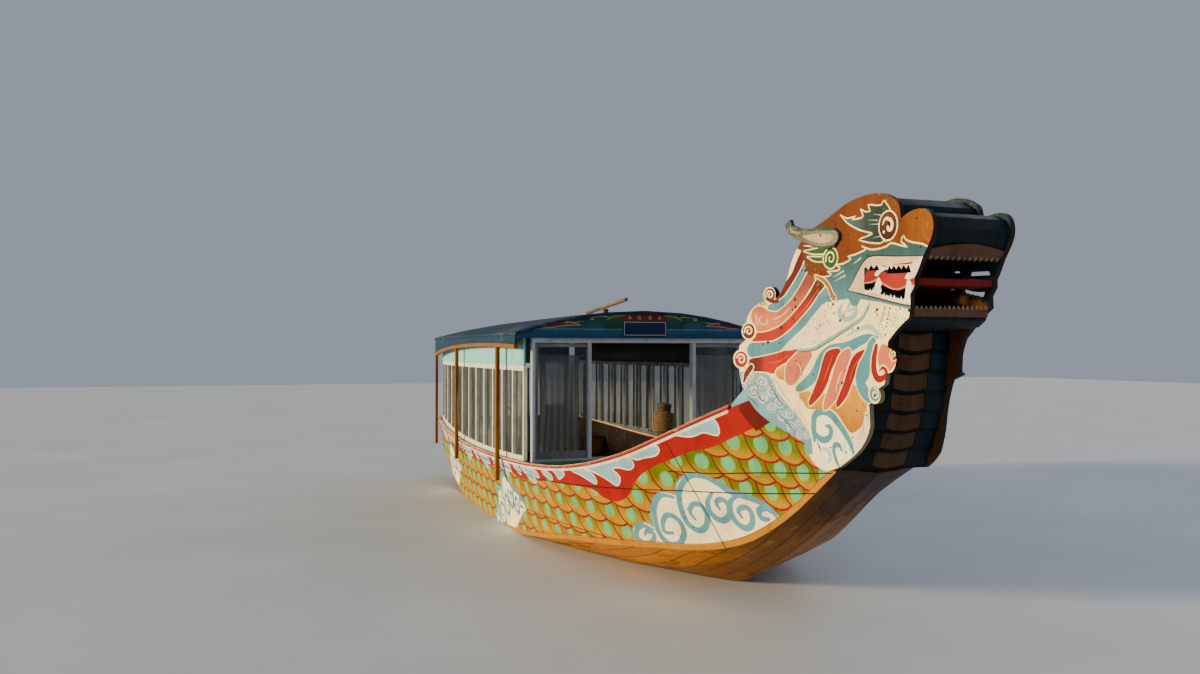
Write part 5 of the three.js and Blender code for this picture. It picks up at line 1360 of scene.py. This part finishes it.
def paint_fascia():
    c = Canvas("fascia_front", FORWARD, CROSS_PLANE, between(FASCIA_FOOT, FASCIA_HEAD, 2.6, 2.85, 1),
               FASCIA_BACK)
    for s in (-1, 1):
        mirror = np.array((s, 1))
        c.area(mirror * [(1.7, 2.5), (1.7, 2.7), (1.45, 2.745), (1.2, 2.715), (1.02, 2.745), (.84, 2.73),
                         (.7, 2.76), (.55, 2.735), (.55, 2.5)], WAVES)
        c.stroke(mirror * [(1.66, 2.7), (1.48, 2.74), (1.3, 2.735), (1.12, 2.75), (.94, 2.745), (.8, 2.77)],
                 [.012, .03, .02, .032, .02, 0], WAVES_LINE)
        c.stroke(mirror * [(1.6, 2.66), (1.44, 2.715), (1.26, 2.7), (1.08, 2.73), (.88, 2.715)],
                 [0, .05, .035, .05, 0], LEAF_RED, LEAF_EDGE, 0.006)
        c.stroke(mirror * [(1.3, 2.775), (1.12, 2.8), (.94, 2.795), (.78, 2.825)], [0, .032, .03, 0],
                 LEAF_BRIGHT)
        c.stroke(mirror * [(.74, 2.8), (.6, 2.83), (.46, 2.81)], [0, .03, 0], LEAF_STRAW)
        for y, z, r in ((1.42, 2.7, .032), (1.06, 2.76, .03), (.72, 2.8, .028)):
            c.scroll(s * y, z, r, 90, 1.2 * s, .009, SCROLL_PALE)
        c.stroke(mirror * [(.52, 2.78), (.42, 2.83), (.3, 2.84), (.2, 2.8)], [.01, .035, .04, .02],
                 LEAF_OLIVE)
    c.area(rounded([(-.34, 2.78), (-.28, 2.835), (-.14, 2.855), (0, 2.86), (.14, 2.855), (.28, 2.835),
                    (.34, 2.78), (.15, 2.77), (-.15, 2.77)]), CREST)
    for y in (-.2, -.07, .07, .2):
        c.scroll(y, 2.812, .026, 90, 1.1 if y < 0 else -1.1, .008, CREST_SCROLL)
    c.area([(-2, 2.5), (-2, 2.655), (2, 2.655), (2, 2.5)], between(STRIPE_FOOT, STRIPE_HEAD, 2.55, 2.65, 1))
    c.stroke([(-1.7, 2.662), (0, 2.662), (1.7, 2.662)], [.01], STRIPE_LINE)
    c.finish("painted_fascia", FIGURES, "green_paint")


for side_name, hand in SIDES:
    paint_head(side_name, hand)
    paint_horn(side_name, hand)
    paint_side(side_name, hand)
paint_throat()
paint_fascia()

# Materials of the nodes that keep their shape

dress("neck_planks crown_planks snout_planks jaw_planks", DEEP_TEAL)
dress("palate", BROWN_LIP)
dress("tongue", MOUTH_RED, 0.006)
dress(both("gunwale"), CAP, 0.008)
dress("transom", BLUE_PAINT)
dress("keel", KEEL_WOOD, 0.006)
dress("hull_bottom", HULL_BROWN, 0)
dress("foredeck helm_platform engine_hatch", DECK_WOOD)
dress("cabin_floor", FLOOR_WOOD)
dress("roof", ROOF_BLUE, 0.006)
dress(both("valance"), BLUE_PAINT)
dress(both("eave_posts"), ORANGE, 0.006)
dress(both("side_band") + " rear_wall", CYAN)
dress(both("window_frame"), PALE_ALLOY, 0.0025)
dress("front_frame " + both("door_frame"), ALLOY, 0.0025)
dress(both("window_glass") + " " + both("front_pane") + " " + both("door_pane"), GLASS, 0)
dress("front_sill", GREEN, 0.004)
dress(both("bow_fillet"), FILLET_BLUE, 0.006)
dress("number_plate", BLANK_PLATE)
dress("mooring_post", POST_WOOD, 0.005)
dress("roof_pole pole_chock", POLE_WOOD)
dress("rudder tiller", KEEL_WOOD, 0.004)
dress("engine gudgeon_lower gudgeon_upper", IRON, 0.006)
dress("stern_tube propeller", BRONZE, 0.002)


# Curtains gathered on their rods, one in each bay of the side and one behind each fixed front pane

CURTAIN_FOOT, CURTAIN_HEAD, ROD_HEIGHT = 1.115, 2.160, 2.168  # of the side curtains
ROD_RADIUS, BRACKET_RADIUS = 0.008, 0.006
ROD_TO_WALL = 0.058
TURN = 2 * math.pi


def clusters(values, gap):
    """The first and last of each run of sorted values that lie closer than the gap."""
    cut = np.flatnonzero(np.diff(values) > gap)
    starts = np.concatenate([[0], cut + 1])
    ends = np.concatenate([cut, [len(values) - 1]])
    return [(values[a], values[b]) for a, b in zip(starts, ends)]


def quads(down, across):
    """The faces of a net of points, row by row."""
    row = across + 1
    return [(j * row + i, j * row + i + 1, (j + 1) * row + i + 1, (j + 1) * row + i)
            for j in range(down) for i in range(across)]


def lay_cloth(name, down, across, place):
    """A sheet of cloth hung from a rod. place gives its point at a share of its width and of its length."""
    grid = np.array([[place(i / across, j / down) for i in range(across + 1)] for j in range(down + 1)])
    whole, less = slice(1, None), slice(None, -1)
    piece = piece_of(name, grid.reshape(-1, 3), quads(down, across), CLOTH, smooth=True)
    return piece


def lay_rod(name, line, brackets):
    """A round rod along a line of points, with its brackets to the wall or the frame."""
    verts, faces = tube_mesh(line, ROD_RADIUS, 10)
    for bracket in brackets:
        more, more_faces = tube_mesh(bracket, BRACKET_RADIUS, 8, len(verts))
        verts, faces = verts + more, faces + more_faces
    return piece_of(name, verts, faces, ALLOY, smooth=True)


def hang_curtains(name, side):
    """The side's curtains, where the CAD node has its plain blocks, on a rod that follows the node's rod."""
    node = f"curtains_{name}"
    co = corners(node)
    foot, rod = co[co[:, 2] < 1.12], co[co[:, 2] > 2.17]
    rod_x = np.unique(np.round(rod[:, 0], 3))
    centre = []
    for x in rod_x:
        inboard = (side * rod[np.abs(rod[:, 0] - x) < 0.002][:, 1]).min()
        centre.append((x, side * (inboard + ROD_RADIUS), ROD_HEIGHT))
    brackets = []
    for x in (rod_x[0] + 0.055, 0.5 * (rod_x[0] + rod_x[-1]), rod_x[-1] - 0.085):
        y = float(np.interp(x, rod_x, [p[1] for p in centre]))
        wall = side * (abs(y) + ROD_TO_WALL)
        brackets.append([(x, wall, ROD_HEIGHT), (x, (wall + y) / 2, ROD_HEIGHT), (x, y, ROD_HEIGHT)])
    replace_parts(lay_rod(f"curtain_rod_{name}", centre, brackets), node)
    for number, (x0, x1) in enumerate(clusters(np.sort(foot[:, 0]), 0.1)):
        source = random.Random(40 + number)
        folds = source.choice((5, 6))
        phase, tied = source.uniform(0, 6.28), source.uniform(0.0, 0.2)
        y0, y1 = (foot[np.abs(foot[:, 0] - x) < 0.003][:, 1].mean() for x in (x0, x1))

        def place(u, v):
            share = 0.006 + 0.988 * (0.5 + (u - 0.5) * (1 - tied * math.sin(math.pi * v) * 0.6))
            wave = (0.013 + 0.008 * v) * math.sin(TURN * folds * u + phase + 0.5 * math.sin(3 * v + phase))
            wave += 0.003 * math.sin(TURN * (folds * 2.3) * u + 5 * v)
            z = CURTAIN_HEAD + (CURTAIN_FOOT - CURTAIN_HEAD) * v
            return x0 + (x1 - x0) * share, y0 + (y1 - y0) * share + wave, z

        curtain = lay_cloth(f"curtain_{name}_{number + 1}", 14, 56, place)
        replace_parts(curtain, node)


def hang_front_curtain(name, side):
    """A gathered curtain behind the fixed pane, on a rod bracketed to the head of the frame."""
    x, y0, y1, top, bottom, folds = 0.27, 0.80, 1.38, 2.32, 1.12, 6
    rod_z = top + 0.006
    frame_head = ((0, 2.50), (0.006, 2.518), (0.03, 2.522), (0.062, 2.522))  # steps forward, and heights

    rod = [(x, side * (y0 - 0.06 + 0.12 * i), rod_z) for i in range(7)]
    brackets = [[(x, side * y, rod_z)] + [(x + step, side * y, z) for step, z in frame_head]
                for y in (y0 - 0.03, y1 - 0.03)]
    lay_rod(f"front_rod_{name}", rod, brackets)

    def place(u, v):
        wave = (0.012 + 0.008 * v) * math.sin(TURN * folds * u + 0.6 * math.sin(3 * v))
        wave += 0.003 * math.sin(TURN * 2.3 * folds * u + 5 * v)
        spread = 0.5 + (u - 0.5) * (0.96 - 0.10 * math.sin(math.pi * v))
        return x + wave, side * (y0 + (y1 - y0) * spread), top + (bottom - top) * v

    lay_cloth(f"front_curtain_{name}", 14, 72, place)


for side_name, hand in SIDES:
    hang_curtains(side_name, hand)
    hang_front_curtain(side_name, hand)


# Turns of three-stranded rope round the mooring post

def lash():
    low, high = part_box("mooring_lashing")
    middle = (low + high) / 2
    turns, steps = 7, 64
    around_post = 0.0965  # radius of the rope's middle line
    strand, strand_out = 0.0095, 0.0098  # a strand's radius, and how far its middle lies from the rope's
    lay = 0.0125  # length of rope in which its strands turn by one radian
    end = 0.02
    rise = (high.z - low.z - 2 * end) / turns
    a = np.linspace(0, TURN * turns, turns * steps)
    path = np.stack([middle.x + around_post * np.cos(a), middle.y + around_post * np.sin(a),
                     low.z + end + rise * a / TURN], 1)
    outward = np.stack([np.cos(a), np.sin(a), 0 * a], 1)
    up = np.tile((0.0, 0.0, 1.0), (len(a), 1))
    verts, faces = [], []
    for k in range(3):
        t = a * around_post / lay + TURN * k / 3
        line = path + strand_out * (np.cos(t)[:, None] * outward + np.sin(t)[:, None] * up)
        more, more_faces = tube_mesh(line, strand, 6, len(verts))
        verts, faces = verts + more, faces + more_faces
    knot = piece_of("mooring_rope", verts, faces, ROPE, smooth=True)
    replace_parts(knot, "mooring_lashing")


lash()


# Lips and teeth across the mouth, between the boards

LIP_THICK = 0.014


def across_mouth(name, foot, rise, out, half, top, teeth, tooth):
    """A thin plank across the mouth: foot is (x, z) of its toothed edge, rise the way to its other edge, out
    the way its face looks. top gives its width at y, half is half its length, tooth is a tooth's length."""
    (fx, fz), (rx, rz), (ox, oz) = foot, rise, out

    def at(y, along, off):
        return (fx + rx * along + ox * off, y, fz + rz * along + oz * off)

    verts, faces, n = [], [], 24
    for i in range(n + 1):
        y = -half + 2 * half * i / n
        verts += [at(y, 0, 0), at(y, top(y), 0), at(y, top(y), LIP_THICK), at(y, 0, LIP_THICK)]
    for i in range(n):
        for k in range(4):
            a, b = 4 * i + k, 4 * i + (k + 1) % 4
            faces.append((a, b, b + 4, a + 4))
    faces += [(3, 2, 1, 0), (4 * n, 4 * n + 1, 4 * n + 2, 4 * n + 3)]
    piece_of(name, verts, faces, BROWN_LIP, width=0.003)

    verts, faces = [], []
    step = 2 * half / teeth
    sunk, root = 0.002, 0.004  # how far a tooth's faces lie inside the lip's, and its root in the lip
    for i in range(teeth):
        y0, start = -half + i * step, len(verts)
        for off in (sunk, LIP_THICK - sunk):
            verts += [at(y0 + 0.08 * step, root, off), at(y0 + 0.92 * step, root, off),
                      at(y0 + 0.5 * step, -tooth, off)]
        faces += [tuple(start + v for v in f) for f in
                  ((0, 1, 2), (5, 4, 3), (0, 3, 4, 1), (1, 4, 5, 2), (2, 5, 3, 0))]
    piece_of(name + "_teeth", verts, faces, TOOTH, width=0.002)


across_mouth("upper_lip", (6.477, 3.074), (0.593, 0.805), (0.805, -0.593), 0.318,
             lambda y: 0.055 + 0.05 * math.cos(math.pi * y / 0.66), 13, 0.036)
across_mouth("lower_lip", (6.3285, 2.700), (-0.12, -0.99), (0.99, -0.12), 0.328, lambda y: 0.058, 16, 0.026)


# A thin pale border on the blank plate

def plate_border():
    low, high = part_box("number_plate")
    margin, wide, sunk, proud = 0.012, 0.006, 0.001, 0.0015
    y0, y1, z0, z1 = low.y + margin, high.y - margin, low.z + margin, high.z - margin
    verts, faces = [], []
    for x in (high.x - sunk, high.x + proud):
        for inset in (0, wide):
            verts += [(x, y0 + inset, z0 + inset), (x, y1 - inset, z0 + inset), (x, y1 - inset, z1 - inset),
                      (x, y0 + inset, z1 - inset)]
    for k in range(4):
        n = (k + 1) % 4
        faces += [(8 + k, 8 + n, 12 + n, 12 + k), (k, 4 + k, 4 + n, n), (k, n, 8 + n, 8 + k),
                  (4 + k, 12 + k, 12 + n, 4 + n)]
    piece_of("plate_border", verts, faces, PALE_LINE)


plate_border()


# Stage and light

bpy.ops.mesh.primitive_plane_add(size=120, location=(0, 0, 0))
floor = bpy.context.object
floor.name = "floor"
ground = Graph("pale_floor")
soft = ground.span(ground.noise(0.4, 3), 0.3, 0.7)
floor.data.materials.append(ground.finish(ground.mix(soft, linear(0xB9BCC2), linear(0xC4C7CC)), 0.7))

world = bpy.data.worlds.new("world")
bpy.context.scene.world = world
world.use_nodes = True
sky = world.node_tree.nodes["Background"]
sky.inputs["Color"].default_value = (0.72, 0.80, 0.95, 1)
sky.inputs["Strength"].default_value = 0.42


def sun(name, energy, color, spread, toward):
    """A distant light. spread is its width in degrees, toward the way it shines."""
    light = bpy.data.lights.new(name, "SUN")
    light.energy, light.color, light.angle = energy, color, math.radians(spread)
    holder = bpy.data.objects.new(name, light)
    holder.rotation_euler = Vector(toward).to_track_quat("-Z", "Y").to_euler()
    bpy.context.scene.collection.objects.link(holder)


sun("key", 7.0, (1.0, 0.82, 0.46), 9, (0.20, 1.0, -0.16))
sun("fill", 0.35, (0.85, 0.92, 1.0), 60, (-1.0, 0.35, -0.35))
sun("sky", 1.0, (0.80, 0.90, 1.0), 70, (0.35, -1.0, -0.45))
